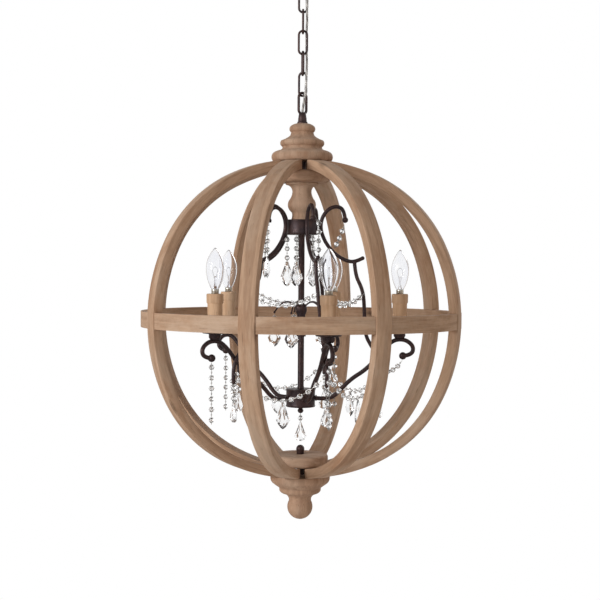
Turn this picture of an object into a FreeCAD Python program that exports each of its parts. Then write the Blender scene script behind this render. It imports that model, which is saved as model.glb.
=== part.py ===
"""Wooden orb chandelier with a five-candle crystal cluster inside, hung on a chain.

Millimetres, +Z up. The origin is on the ceiling, at the middle of the crossbar
that carries the lamp. Heights inside the orb are counted from the orb's centre,
which lies ORB_DROP below the ceiling. Azimuth 0 faces -Y, and grows towards +X.
"""
import FreeCAD, Part
import math
import os

Vec = FreeCAD.Vector
UP = Vec(0, 0, 1)

# ---------------------------------------------------------------- driving sizes
ORB_DROP = 680.0            # ceiling to orb centre
ORB_R = 300.0               # ribs, outside, at the equator
RIB_BENDS = ((330.0, 25.0), (260.0, 65.0), (339.0, 90.0))   # ribs, outside, from the equator up:
                            # the radius of each bend and where it ends, in degrees
POLE_FLAT = 293.0           # ribs are flat here, where the turned caps sit
RIB_WIDTH = 30.0
RIB_THICK = 18.0
RIB_END_R = 46.0            # ribs stop this far from the axis
RIB_COUNT = 8
FIRST_RIB = -17.5           # azimuth of the first rib, degrees
BAND_R = 298.0
BAND_HEIGHT = 29.0
LAP_R = 291.0               # ribs keep what is outside this at the equator, the band what is inside

DISC_R = 52.0
DISC_THICK = 21.0
TUBE_R = 6.6                # threaded tube, quarter-inch pipe size
TUBE_BORE = 4.6
SLIP = 0.1                  # how much wider than the tube the wooden bores are
HAIR = 0.02                 # gap between the discs and the ribs that they back

ARM_COUNT = 5
FIRST_ARM = 15.0            # azimuth of the first candle arm, degrees
ARM_BAR_R = 4.0
ARM_BORE = 2.4
SCROLL_BAR_R = 3.6
BALL_R = 7.0
CANDLE_R = 184.0            # candles stand this far from the axis
SWAG_ARM = 2                # the arm whose beads swing back to the cage bar

HUB_TOP, HUB_BOTTOM = 185.0, 157.0          # upper hub
LOW_HUB_TOP, LOW_HUB_BOTTOM = -131.0, -165.0
UPPER_HUB_R, LOWER_HUB_R = 31.0, 28.0
HUB_WALL = 2.0
ROD_R, ROD_BORE = 6.3, 4.0

WIRE_D = 4.2                # chain wire
LOOP_WIRE_D = 5.0           # wire of the two end loops
LINK_COUNT = 5
LINK_PITCH = 38.5
LINK_WIDTH = 19.5
LINK_TURNS = (-28.0, 98.0, 0.0, 90.0, 0.0)  # azimuth of each link's plane, from the lowest up
LOOP_TURN = 28.0
FIRST_CONTACT = 417.0       # where the top loop hangs on the lowest link
PLAY = 0.15                 # half of the gap left where two rings touch
LOOP_PLAY = 0.7             # the same above the contact of the top loop, which crosses at a slant

CORD_R = 2.3
CORD_ROUTE = (              # chosen by hand: in front of links 1 and 5, behind link 3
    (0, 0, 372), (0, 0, 385), (1.4, -3.2, 397), (4.4, -7.6, 413), (6.4, -9.6, 433),
    (7.0, -8.4, 455), (7.8, -1.6, 475), (7.0, 5.4, 495), (6.2, 6.6, 516), (6.8, 5.6, 538),
    (7.8, -0.6, 558), (6.9, -6.1, 578), (6.2, -7.1, 597), (5.5, -5.6, 612),
    (2.2, -1.8, 624), (0, 0, 635), (0, 0, 646),
)

BEAD_R = 5.3
BEAD_STEP = 19.0
THREAD_R = 0.6

os.makedirs("parts", exist_ok=True)


# ---------------------------------------------------------------- small helpers
def save(name, *shapes, drop=ORB_DROP):
    """Write one node, lowered from orb heights to its place under the ceiling."""
    node = shapes[0] if len(shapes) == 1 else Part.makeCompound(list(shapes))
    node.translate(Vec(0, 0, -drop))
    node.exportStep(f"parts/{name}.step")
    volume = f"{node.Volume / 1000:9.2f} cm3"
    print(f"{name:18s} solids {len(node.Solids):3d}  volume {volume}  valid {node.isValid()}")


def turned_by(shape, azimuth):
    """A copy of a piece modelled on +X, turned about Z so that it points along the azimuth."""
    copy = shape.copy()
    copy.rotate(Vec(0, 0, 0), UP, azimuth - 90.0)
    return copy


def around(shape, count, first):
    return [turned_by(shape, first + 360.0 / count * i) for i in range(count)]


def on_azimuth(r, z, azimuth):
    a = math.radians(azimuth)
    return Vec(r * math.sin(a), -r * math.cos(a), z)


def cylinder(radius, low, high, x=0.0):
    return Part.makeCylinder(radius, high - low, Vec(x, 0, low))


def lathe(steps):
    """Turn a closed outline about Z. A step of two numbers is a corner (r, z), and a step of
    four is an arc: a point on its way, then its end."""
    edges, start = [], Vec(steps[0][0], 0, steps[0][1])
    here = start
    for step in steps[1:] + [steps[0]]:
        end = Vec(step[-2], 0, step[-1])
        if len(step) == 4:
            edges.append(Part.Arc(here, Vec(step[0], 0, step[1]), end).toShape())
        elif (end - here).Length > 1e-6:
            edges.append(Part.LineSegment(here, end).toShape())
        here = end
    face = Part.Face(Part.Wire(edges))
    return face.revolve(Vec(0, 0, 0), UP, 360)


def rounded_path(points, share=0.45):
    """Straight runs joined by tangent arcs, as large as their two runs allow. Returns the
    wire and the radii."""
    points = [Vec(*p) for p in points]
    edges, radii, here = [], [], points[0]
    for before, corner, after in zip(points, points[1:], points[2:]):
        back, ahead = before - corner, after - corner
        reach = share * min(back.Length, ahead.Length)
        back.normalize()
        ahead.normalize()
        half_turn = (math.pi - back.getAngle(ahead)) / 2
        radius = reach / math.tan(half_turn)
        start, end = corner + back * reach, corner + ahead * reach
        inward = (back + ahead).normalize()
        middle = corner + inward * (radius / math.cos(half_turn) - radius)
        edges.append(Part.LineSegment(here, start).toShape())
        edges.append(Part.Arc(start, middle, end).toShape())
        radii.append(radius)
        here = end
    edges.append(Part.LineSegment(here, points[-1]).toShape())
    return Part.Wire(edges), radii


def bar_along(points, radius, share=0.45):
    """A round bar that follows the rounded path through the points: a cylinder for each run and
    part of a ring for each arc."""
    path, _ = rounded_path(points, share)
    pieces = []
    for edge in path.Edges:
        first, last = edge.FirstParameter, edge.LastParameter
        start = edge.valueAt(first)
        section = Part.Face(Part.Wire(Part.makeCircle(radius, start, edge.tangentAt(first))))
        if isinstance(edge.Curve, Part.Circle):
            circle = edge.Curve
            pieces.append(section.revolve(circle.Center, circle.Axis, math.degrees(last - first)))
        else:
            pieces.append(section.extrude(edge.valueAt(last) - start))
    return pieces[0].multiFuse(pieces[1:])


def in_plane(outline):
    """Points (r, z) of an outline as points of the XZ plane."""
    return [(r, 0, z) for r, z in outline]


def ring_link(width, low_centre, high_centre, wire_d):
    """A long ring of round wire in the XZ plane, its end wires centred at the two heights."""
    wire_r, turn_r = wire_d / 2, (width - wire_d) / 2
    section = Part.Face(Part.Wire(Part.makeCircle(wire_r, Vec(turn_r, 0, 0), UP)))
    top = section.revolve(Vec(0, 0, 0), Vec(0, -1, 0), 180)
    bottom = section.revolve(Vec(0, 0, 0), Vec(0, 1, 0), 180)
    low, high = low_centre + turn_r, high_centre - turn_r
    top.translate(Vec(0, 0, high))
    bottom.translate(Vec(0, 0, low))
    sides = [cylinder(wire_r, low, high, x) for x in (turn_r, -turn_r)]
    return top.multiFuse([bottom] + sides).removeSplitter()


def facetted(rings, sides=8, flat=1.0):
    """A cut-glass solid from rings (radius, height), one above the other. A radius of 0 is a
    point, and flat is the depth over the width."""
    def ring(radius, height):
        if radius == 0:
            return [Vec(0, 0, height)]
        turns = [2 * math.pi * (k + 0.5) / sides for k in range(sides)]
        return [Vec(radius * math.cos(t), flat * radius * math.sin(t), height) for t in turns]

    levels = [ring(*r) for r in rings]
    faces = [Part.Face(Part.makePolygon(level + level[:1])) for level in (levels[0], levels[-1])
             if len(level) > 1]
    for low, high in zip(levels, levels[1:]):
        for k in range(sides):
            n = (k + 1) % sides
            corners = [low[k % len(low)], low[n % len(low)], high[n % len(high)], high[k % len(high)]]
            corners = [c for i, c in enumerate(corners) if (c - corners[i - 1]).Length > 1e-6]
            faces.append(Part.Face(Part.makePolygon(corners + corners[:1])))
    solid = Part.makeSolid(Part.makeShell(faces))
    if solid.Volume < 0:
        solid.reverse()
    return solid


BEAD = facetted([(0.45 * BEAD_R, -0.9 * BEAD_R), (BEAD_R, -0.35 * BEAD_R),
                 (BEAD_R, 0.35 * BEAD_R), (0.45 * BEAD_R, 0.9 * BEAD_R)])


def pendant(length, width, depth):
    """A flat kite-shaped drop that hangs from the origin, widest below its middle."""
    return facetted([(0, -length), (0.32 * width, -0.86 * length), (0.5 * width, -0.66 * length),
                     (0.13 * width, -0.1 * length), (0.1 * width, 0)], flat=depth / width)


def thread(start, end):
    """A thin six-sided wire between two points."""
    along = end - start
    wire = facetted([(THREAD_R, 0), (THREAD_R, along.Length)], sides=6)
    wire.Placement = FreeCAD.Placement(start, FreeCAD.Rotation(UP, along))
    return wire


def strung(points, beads, drop=None, drop_at=None, drop_turn=0.0):
    """Beads on a thread through the points, with a pendant hung at one of them."""
    solids = [thread(a, b) for a, b in zip(points, points[1:])]
    for k in beads:
        bead = BEAD.copy()
        bead.translate(points[k])
        solids.append(bead)
    if drop:
        glass = drop.copy()
        glass.rotate(Vec(0, 0, 0), UP, drop_turn)
        glass.translate(drop_at)
        solids.append(glass)
    return solids[0].multiFuse(solids[1:])


def hanging(top, bead_count, glass=None, glass_turn=0.0, lead=9.0, step=BEAD_STEP, tie=None):
    """A string that hangs straight down from a point, with an optional pendant below. Where the
    string is tied to the metal beside that point, tie is the place."""
    levels = [0.0] + [lead + step * k for k in range(bead_count)]
    points = [top - UP * level for level in levels]
    foot = points[-1] - UP * (BEAD_R + 3.0)
    points.append(foot)
    beads = range(1, bead_count + 1)
    if tie:
        points[0] = tie
    return strung(points, beads, glass, foot + UP * 1.0, glass_turn)


def swag(start, end, sag, bead_count, glass=None):
    """A string that sags between two points, with an optional pendant at its lowest."""
    spans = bead_count + 1
    points = []
    for k in range(spans + 1):
        s = k / spans
        points.append(start * (1 - s) + end * s - UP * (4 * sag * s * (1 - s)))
    middle = points[(spans + 1) // 2]
    facing = math.degrees(math.atan2(middle.x, -middle.y))
    return strung(points, range(1, spans), glass, middle - UP * (BEAD_R - 1.0), facing)


# ---------------------------------------------------------------- ceiling fitting
CANOPY_R, CANOPY_DEPTH, CANOPY_WALL = 62.0, 30.0, 1.2
BRACKET_LENGTH, BRACKET_WIDTH, BRACKET_THICK = 108.0, 22.0, 2.5
SLOT_SPACING, SLOT_LENGTH, SLOT_R = 82.0, 16.0, 2.5
STEM_R = 5.0
NUT_R, NUT_HEIGHT = 9.2, 4.0
CANOPY_CONTACT = FIRST_CONTACT + LINK_COUNT * LINK_PITCH
BOSS_UNDER = CANOPY_CONTACT + 28.0


def ceiling_fitting():
    """Crossbar, the nut that locks the stem to it, the dished canopy, the loop that carries the
    chain, the ring nut that holds the canopy up, and the terminal block."""
    bar = Part.makeBox(BRACKET_LENGTH, BRACKET_WIDTH, BRACKET_THICK,
                       Vec(-BRACKET_LENGTH / 2, -BRACKET_WIDTH / 2, -BRACKET_THICK))
    bar = bar.makeFillet(4.0, [e for e in bar.Edges if abs(e.tangentAt(e.FirstParameter).z) > 0.9])
    cuts = [cylinder(STEM_R, -9, 9)]
    for side in (-1, 1):
        middle = side * SLOT_SPACING / 2
        half = SLOT_LENGTH / 2 - SLOT_R
        cuts += [cylinder(SLOT_R, -9, 9, middle - half), cylinder(SLOT_R, -9, 9, middle + half)]
        cuts.append(Part.makeBox(2 * half, 2 * SLOT_R, 18, Vec(middle - half, -SLOT_R, -9)))
    save("ceiling_bracket", bar.cut(Part.makeCompound(cuts)), drop=0)

    nut = facetted([(NUT_R, -BRACKET_THICK - NUT_HEIGHT), (NUT_R, -BRACKET_THICK)], sides=6)
    save("stem_nut", nut.cut(cylinder(STEM_R, -9, 0)), drop=0)

    rim, floor, wall = CANOPY_R, -CANOPY_DEPTH, CANOPY_WALL
    canopy = lathe([(rim, 0), (rim, -5), (rim - 3, -14, rim - 14, -18.5), (rim - 26, -21),
                    (26, -24, 16, floor), (STEM_R + 0.3, floor), (STEM_R + 0.3, floor + wall),
                    (16 - wall, floor + wall), (26, -24 + 1.6, rim - 26, -21 + wall),
                    (rim - 14, -18.5 + wall), (rim - 4, -13.2, rim - wall, -5), (rim - wall, 0)])
    save("canopy", canopy, drop=0)

    ring_low = floor - 6.0
    ring = lathe([(STEM_R, floor), (STEM_R, ring_low), (10.5, ring_low),
                  (12.2, ring_low + 1.4, 12.5, floor - 3), (12.5, floor)])
    save("collar_ring", ring, drop=0)

    boss_low = BOSS_UNDER - ORB_DROP
    loop_low = CANOPY_CONTACT - ORB_DROP - LOOP_WIRE_D / 2 - PLAY
    loop = ring_link(21.0, loop_low, boss_low + LOOP_WIRE_D / 2, LOOP_WIRE_D)
    loop.rotate(Vec(0, 0, 0), UP, 90)
    boss = lathe([(0, boss_low - 1.0), (6.4, boss_low - 1.0), (8.0, boss_low + 3.0), (8.0, ring_low),
                  (STEM_R, ring_low), (STEM_R, -0.5), (0, -0.5)])
    bore = cylinder(CORD_R + 0.5, boss_low - 3, 1)
    save("canopy_loop", loop.fuse(boss).cut(bore), drop=0)

    block_x, block_length, block_width, block_height = 11.0, 26.0, 13.0, 11.0
    block_low, block_side, wire_hole_r = -BRACKET_THICK - block_height, -block_width / 2, 1.6
    block = Part.makeBox(block_length, block_width, block_height, Vec(block_x, block_side, block_low))
    block = block.makeFillet(1.5, [e for e in block.Edges if e.BoundBox.ZMax < -BRACKET_THICK - 0.1])
    for part in (0.25, 0.75):
        mouth = Vec(block_x + block_length * part, block_side - 1, block_low + 5)
        block = block.cut(Part.makeCylinder(wire_hole_r, block_width + 2, mouth, Vec(0, 1, 0)))
    save("terminal_block", block, drop=0)


# ---------------------------------------------------------------- chain and cord
def chain():
    links = []
    for k, turn in enumerate(LINK_TURNS):
        low = FIRST_CONTACT + k * LINK_PITCH - WIRE_D / 2 - PLAY
        high = FIRST_CONTACT + (k + 1) * LINK_PITCH + WIRE_D / 2 + PLAY
        link = ring_link(LINK_WIDTH, low, high, WIRE_D)
        link.rotate(Vec(0, 0, 0), UP, turn)
        links.append(link)
    save("chain_links", *links)


def supply_cord():
    """The clear cord that weaves through the links, from one loop's boss to the other's."""
    path, radii = rounded_path(CORD_ROUTE)
    section = Part.makeCircle(CORD_R, Vec(*CORD_ROUTE[0]), UP)
    cord = path.makePipeShell([Part.Wire(section)], True, False)
    share = cord.Volume / (math.pi * CORD_R ** 2 * path.Length)
    print(f"supply cord: length {path.Length:.1f}, volume over section times length {share:.4f}")
    print("supply cord radii:", " ".join(f"{r:.0f}" for r in radii))
    save("supply_cord", cord)


# ---------------------------------------------------------------- wooden orb
CAP_TOP = 363.0
LOOP_FOOT, LOOP_NECK = 372.0, 384.0


def joint_screw():
    """Countersunk screw through the lap of a rib and the band, modelled along +X."""
    head_x, tip_x, head_r, shank_r = ORB_R - RIB_THICK, LAP_R + 6.0, 3.6, 1.8
    screw = lathe([(0, head_x), (head_r, head_x), (shank_r, head_x + 2.2), (shank_r, tip_x - 2),
                   (0, tip_x)])
    screw.rotate(Vec(0, 0, 0), Vec(0, 1, 0), 90)
    return screw


def rib_arcs(inset):
    """The curve of a rib from the equator up to the pole, this far inside its outer face: the
    start, middle and end of each bend, as (r, z)."""
    arcs, low = [], 0.0
    centre_r, centre_z = ORB_R - RIB_BENDS[0][0], 0.0
    for k, (radius, high) in enumerate(RIB_BENDS):
        if k:
            step = RIB_BENDS[k - 1][0] - radius
            centre_r += step * math.cos(math.radians(low))
            centre_z += step * math.sin(math.radians(low))
        turns = [math.radians(t) for t in (low, (low + high) / 2, high)]
        reach = radius - inset
        arcs.append([(centre_r + reach * math.cos(t), centre_z + reach * math.sin(t)) for t in turns])
        low = high
    return arcs


def rib_slab(inset, flat, half_width):
    """All that lies inside the rib's curve on +X, cut off level at the poles, in a slab."""
    halves = []
    for up in (1, -1):
        halves.append([Part.Arc(*[Vec(r, -half_width, up * z) for r, z in arc]).toShape()
                       for arc in rib_arcs(inset)])
    pole_r, pole_z = rib_arcs(inset)[-1][-1]
    poles = [Vec(pole_r, -half_width, up * pole_z) for up in (1, -1)]
    outline = Part.Wire(halves[0] + [Part.LineSegment(*poles).toShape()] + halves[1][::-1])
    slab = Part.Face(outline).extrude(Vec(0, 2 * half_width, 0))
    between_poles = Part.makeBox(ORB_R + 2, 2 * half_width, 2 * flat, Vec(-1, -half_width, -flat))
    return slab.common(between_poles)


def rib():
    half = RIB_WIDTH / 2
    outside = rib_slab(0, POLE_FLAT, half)
    inside = rib_slab(RIB_THICK, POLE_FLAT - RIB_THICK, half + 1)
    reach = Part.makeBox(ORB_R, RIB_WIDTH, 2 * ORB_R, Vec(RIB_END_R, -half, -ORB_R))
    notch = Part.makeBox(30, RIB_WIDTH + 2, BAND_HEIGHT, Vec(LAP_R - 30, -half - 1, -BAND_HEIGHT / 2))
    return outside.cut(inside).common(reach).cut(notch).cut(joint_screw())


def equator_band():
    half = BAND_HEIGHT / 2
    ring = cylinder(BAND_R, -half, half).cut(cylinder(ORB_R - RIB_THICK, -half - 1, half + 1))
    notch = Part.makeBox(30, RIB_WIDTH, BAND_HEIGHT + 2, Vec(LAP_R, -RIB_WIDTH / 2, -half - 1))
    cuts = around(notch, RIB_COUNT, FIRST_RIB) + around(joint_screw(), RIB_COUNT, FIRST_RIB)
    return ring.cut(Part.makeCompound(cuts))


def orb_frame():
    """Eight curved ribs, the band that they lap, and a screw through each lap."""
    for k, piece in enumerate(around(rib(), RIB_COUNT, FIRST_RIB), 1):
        save(f"rib_{k}", piece)
    save("equator_band", equator_band())
    save("joint_screws", *around(joint_screw(), RIB_COUNT, FIRST_RIB))


def pole_disc(low):
    """Turned disc that backs the rib ends, with rounded edges."""
    r, high, bore = DISC_R, low + DISC_THICK, TUBE_R + SLIP
    return lathe([(bore, low), (r - 8, low), (r - 1.5, low + 3, r, low + 9), (r, high - 6),
                  (r - 1.2, high - 1.6, r - 5, high), (bore, high)])


def turned_wood():
    """The stepped cap on top, the disc and the vase under it, and the disc and ball finial below."""
    bore, base = TUBE_R + SLIP, POLE_FLAT
    save("top_finial", lathe([
        (bore, base), (53.5, base), (57.3, base + 8.5, 54.0, base + 16.0),
        (49.0, base + 18.7, 42.0, base + 20.6), (38.5, base + 22.8), (37.0, base + 24.5),
        (37.0, base + 27.5), (41.2, base + 34.0, 39.2, base + 39.0),
        (29.0, base + 43.6, 22.8, base + 48.0), (20.7, base + 54.0),
        (24.2, base + 60.5, 21.8, base + 65.8), (16.5, base + 69.0, 13.5, CAP_TOP), (bore, CAP_TOP)]))

    disc_face = POLE_FLAT - RIB_THICK - HAIR
    disc_under = disc_face - DISC_THICK
    save("upper_disc", pole_disc(disc_under))
    save("lower_disc", pole_disc(-disc_face))

    save("inner_vase", lathe([
        (bore, disc_under), (30.0, disc_under), (30.5, disc_under - 4.0),
        (20.5, 245.0, 17.8, 236.0), (19.5, 229.0, 24.0, 221.0), (26.2, 211.0, 22.5, 202.0),
        (18.6, 198.0), (18.0, 192.0, 20.0, HUB_TOP), (bore, HUB_TOP)]))

    ball_r, ball_z, neck_r = 23.8, -base - 60.3, 20.8
    neck_z = ball_z + math.sqrt(ball_r ** 2 - neck_r ** 2)
    save("bottom_finial", lathe([
        (bore, -base), (54.5, -base), (56.0, -base - 6.0, 52.5, -base - 14.5),
        (46.5, -base - 19.0, 40.0, -base - 23.5), (39.3, -base - 25.5), (39.0, -base - 29.5),
        (36.5, -base - 32.8, 31.5, -base - 35.2), (23.6, -base - 40.0, neck_r, -base - 45.5),
        (neck_r, neck_z), (ball_r, ball_z, 0, ball_z - ball_r), (0, -base - 45.0),
        (bore, -base - 45.0)]))


def pole_hardware():
    """The loop, the threaded tube that clamps the top, and the stud and cap nut of the bottom."""
    loop_low = LOOP_NECK - LOOP_WIRE_D / 2 - 0.5
    loop = ring_link(21.0, loop_low, FIRST_CONTACT + LOOP_WIRE_D / 2 + LOOP_PLAY, LOOP_WIRE_D)
    loop.rotate(Vec(0, 0, 0), UP, LOOP_TURN)
    boss = lathe([(0, CAP_TOP), (9.8, CAP_TOP), (9.8, CAP_TOP + 3), (8.4, CAP_TOP + 4.5),
                  (8.0, LOOP_FOOT + 1), (6.4, LOOP_NECK - 1), (5.4, LOOP_NECK), (0, LOOP_NECK)])
    cord_hole = cylinder(CORD_R + 0.5, LOOP_FOOT - 1, LOOP_NECK + 5)
    bores = Part.makeCompound([cylinder(TUBE_R, CAP_TOP - 1, LOOP_FOOT), cord_hole])
    save("top_loop", loop.fuse(boss).cut(bores))

    tube_low = HUB_TOP - HUB_WALL
    bore = cylinder(TUBE_BORE, tube_low - 1, LOOP_FOOT + 1)
    save("threaded_tube", cylinder(TUBE_R, tube_low, LOOP_FOOT).cut(bore))

    disc_top = -(POLE_FLAT - RIB_THICK - DISC_THICK - HAIR)
    neck_r, stud_low = 3.0, -POLE_FLAT - 44.0
    save("bottom_stud", lathe([
        (0, stud_low), (TUBE_R, stud_low), (TUBE_R, disc_top - 2), (neck_r, disc_top - 2),
        (neck_r, disc_top + 8), (0, disc_top + 8)]))
    nut_r = 7.8
    centre = disc_top + nut_r + 1.6
    nut = Part.makeSphere(nut_r, Vec(0, 0, centre))
    foot = cylinder(nut_r - 0.8, disc_top, disc_top + 3.5)
    save("cap_nut", nut.fuse(foot).cut(cylinder(neck_r, disc_top - 2, disc_top + 8)))


# ---------------------------------------------------------------- metal cluster
ARM_LINE = ((24, -148), (50, -151), (67, -141), (80, -126), (97, -110), (119, -96), (138, -77),
            (157, -52), (CANDLE_R - 9, -37), (CANDLE_R + 12, -37), (211, -50), (207, -66),
            (190.5, -67.5))
ARM_BALL = ARM_LINE[-1]
SCROLL_LINE = ((81, 186), (79, 203), (67, 211), (50, 206), (38, 190), (34.8, 170), (41, 150),
               (51, 134), (63, 121), (81, 110), (99, 106), (114, 114))
BAR_LINE = ((99, 106), (101, 82), (112, 61), (117, 41), (118.5, 5), (120, -30), (134, -54),
            (147, -76), (150.5, -96), (149, -113))
BAR_SIDE = 7.5              # the bar leaves the plane of its scroll to pass beside the arm
BAR_SIDE_FROM = 5           # and it is there from this point of its line on
BALL_UNDER = ARM_BALL[1] - BALL_R - 0.3
SCROLL_BALL_R = 5.6
CUP_TOP = -21.0             # candles stand here
SADDLE = -34.5              # cups reach down to here, into the crest of the arm
WELL_R = 3.4                # upright hole for the lead, from the arm into the cup
CROWN_TOP, CROWN_LOW = 28.0, -33.0
HOOK_LINE = ((8.0, 22), (15, 30), (29, 33), (42, 25), (50, 12))
HOOK_BAR_R, HOOK_EYE_R = 1.5, 2.2
FINIAL_DROP = 12.5          # the lower hub's finial, below the hub
FINIAL_SPIGOT_R = 4.0


def drum(radius, low, high, bore_top, bore_floor, side_bore=0.0):
    """A round hub: a can with a lid, hollow for the wiring."""
    outer = lathe([(0, low), (radius - 1.5, low), (radius, low + 1.5), (radius, high - 1.5),
                   (radius - 1.5, high), (0, high)])
    wall_low, wall_high = low + HUB_WALL, high - HUB_WALL
    cuts = [cylinder(radius - 2 * HUB_WALL, wall_low, wall_high),
            cylinder(bore_top, wall_high - 1, high + 1), cylinder(bore_floor, low - 1, wall_low + 1)]
    body = outer.cut(Part.makeCompound(cuts))
    if side_bore:
        hole = Part.makeCylinder(side_bore, radius, Vec(radius / 2, 0, ARM_LINE[0][1]), Vec(1, 0, 0))
        body = body.cut(Part.makeCompound(around(hole, ARM_COUNT, FIRST_ARM)))
    return body


def hubs_and_rod():
    save("upper_hub", drum(UPPER_HUB_R, HUB_BOTTOM, HUB_TOP, TUBE_R, ROD_R))
    rod_top, rod_low = HUB_BOTTOM + HUB_WALL, LOW_HUB_TOP - HUB_WALL
    bore = cylinder(ROD_BORE, rod_low - 1, rod_top + 1)
    save("center_rod", cylinder(ROD_R, rod_low, rod_top).cut(bore))
    save("lower_hub", drum(LOWER_HUB_R, LOW_HUB_BOTTOM, LOW_HUB_TOP, ROD_R, FINIAL_SPIGOT_R, ARM_BORE))
    base, spigot = LOW_HUB_BOTTOM, FINIAL_SPIGOT_R
    save("hub_finial", lathe([
        (0, base - FINIAL_DROP), (4.2, base - 10.5, 5.6, base - 7.5), (4.4, base - 4.6, 3.4, base - 3.4),
        (7.5, base - 2.2), (7.5, base), (spigot, base), (spigot, base + 5), (0, base + 5)]))


def rod_crown():
    """Coupling sleeve round the middle of the rod, with five thin hooks for crystals."""
    sleeve = lathe([(ROD_R, CROWN_LOW), (9.0, CROWN_LOW), (9.0, CROWN_LOW + 3), (7.8, CROWN_LOW + 5),
                    (7.8, CROWN_TOP - 20), (10.4, CROWN_TOP - 14, 10.0, CROWN_TOP - 5),
                    (8.2, CROWN_TOP), (ROD_R, CROWN_TOP)])
    hook = bar_along(in_plane(HOOK_LINE), HOOK_BAR_R)
    eye = Part.makeSphere(HOOK_EYE_R, Vec(HOOK_LINE[-1][0], 0, HOOK_LINE[-1][1]))
    hooks = around(hook.fuse(eye), ARM_COUNT, FIRST_ARM + 36)
    crown = sleeve.multiFuse(hooks).cut(cylinder(ROD_R, CROWN_LOW - 1, CROWN_TOP + 9))
    save("rod_crown", crown)


def candle_cup():
    """Drip pan with a turned-up rim on a short cup, which straddles the arm. On +X."""
    cup = lathe([
        (0, SADDLE), (8.5, SADDLE), (11.0, SADDLE + 4), (11.0, CUP_TOP - 3.2), (22.0, CUP_TOP - 2.0),
        (23.2, CUP_TOP + 0.8), (21.8, CUP_TOP + 1.2), (19.5, CUP_TOP), (0, CUP_TOP)])
    cup.translate(Vec(CANDLE_R, 0, 0))
    return cup.cut(cylinder(WELL_R, SADDLE - 1, CUP_TOP + 1, CANDLE_R))


def candle_arm():
    line = in_plane(ARM_LINE)
    bar = bar_along(line, ARM_BAR_R)
    tip = Vec(*line[-1])
    ball = Part.makeSphere(BALL_R, tip, tip - Vec(*line[-2]))
    bore = bar_along(line[:10], ARM_BORE)
    well = cylinder(WELL_R, ARM_LINE[8][1], SADDLE + 20, CANDLE_R)
    hub_face = cylinder(LOWER_HUB_R, LOW_HUB_BOTTOM, LOW_HUB_TOP)
    seat = lathe([(0, SADDLE), (8.5, SADDLE), (11.0, SADDLE + 4), (11.0, 0), (0, 0)])
    seat.translate(Vec(CANDLE_R, 0, 0))
    return bar.fuse(ball).cut(bore).cut(well).cut(hub_face).cut(seat)


def bar_points():
    """The bar's line with its sideways step, which is half made at one point and whole at the next."""
    points = []
    for k, (r, z) in enumerate(BAR_LINE):
        made = min(1.0, max(0.0, (k - BAR_SIDE_FROM + 2) / 2))
        points.append((r, BAR_SIDE * made, z))
    return points


def cage_scroll():
    """One side of the cage: an upper scroll that touches the upper hub and rolls over to a
    ball, and a bar that drops from its lower end past the arm."""
    scroll = bar_along(in_plane(SCROLL_LINE), SCROLL_BAR_R)
    bar = bar_along(bar_points(), SCROLL_BAR_R)
    ball = Part.makeSphere(SCROLL_BALL_R, Vec(SCROLL_LINE[0][0], 0, SCROLL_LINE[0][1] - 1))
    joint = Part.makeSphere(SCROLL_BAR_R + 0.4, Vec(BAR_LINE[0][0], 0, BAR_LINE[0][1]))
    tip = Part.makeSphere(SCROLL_BAR_R + 0.3, Vec(SCROLL_LINE[-1][0], 0, SCROLL_LINE[-1][1]))
    return scroll.multiFuse([bar, ball, joint, tip])


def arms_and_cage():
    hub_side = cylinder(UPPER_HUB_R, HUB_BOTTOM, HUB_TOP)
    arm = candle_arm()
    scroll = cage_scroll().cut(hub_side)
    for k, piece in enumerate(around(arm, ARM_COUNT, FIRST_ARM), 1):
        save(f"candle_arm_{k}", piece)
    for k, piece in enumerate(around(scroll, ARM_COUNT, FIRST_ARM), 1):
        save(f"cage_scroll_{k}", piece)
    save("candle_cups", *around(candle_cup(), ARM_COUNT, FIRST_ARM))


# ---------------------------------------------------------------- candles
SLEEVE_TOP = 48.0
SLEEVE_BORE = 11.0
SOCKET_TOP = 44.0
BULB_BASE_R = 6.8
GLASS_LOW, GLASS_TOP, GLASS_R = 56.0, 130.0, 16.6


def candles():
    """Wooden candle sleeve, the lamp holder inside it, and a candle bulb, five times."""
    sleeve = lathe([
        (SLEEVE_BORE, CUP_TOP), (13.2, CUP_TOP), (13.6, SLEEVE_TOP - 18), (15.2, SLEEVE_TOP - 16),
        (15.4, SLEEVE_TOP - 1.5), (14.2, SLEEVE_TOP), (SLEEVE_BORE, SLEEVE_TOP)])
    holder_r, base_low = SLEEVE_BORE - 0.2, SOCKET_TOP - 22
    holder = lathe([
        (0, CUP_TOP), (holder_r, CUP_TOP), (holder_r, SOCKET_TOP - 2), (holder_r - 2, SOCKET_TOP),
        (BULB_BASE_R, SOCKET_TOP), (BULB_BASE_R, base_low), (0, base_low)])
    widest = 0.5 * (GLASS_LOW + GLASS_TOP)
    bulb = lathe([
        (0, base_low), (BULB_BASE_R - 2.5, base_low), (BULB_BASE_R, base_low + 4),
        (BULB_BASE_R, GLASS_LOW), (GLASS_R - 3.4, GLASS_LOW + 15, GLASS_R, widest),
        (GLASS_R - 4.2, GLASS_TOP - 17, 2.2, GLASS_TOP - 1.5), (1.4, GLASS_TOP), (0, GLASS_TOP)])
    for name, piece in (("candle_sleeves", sleeve), ("lamp_sockets", holder), ("candle_bulbs", bulb)):
        piece.translate(Vec(CANDLE_R, 0, 0))
        save(name, *around(piece, ARM_COUNT, FIRST_ARM))


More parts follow.
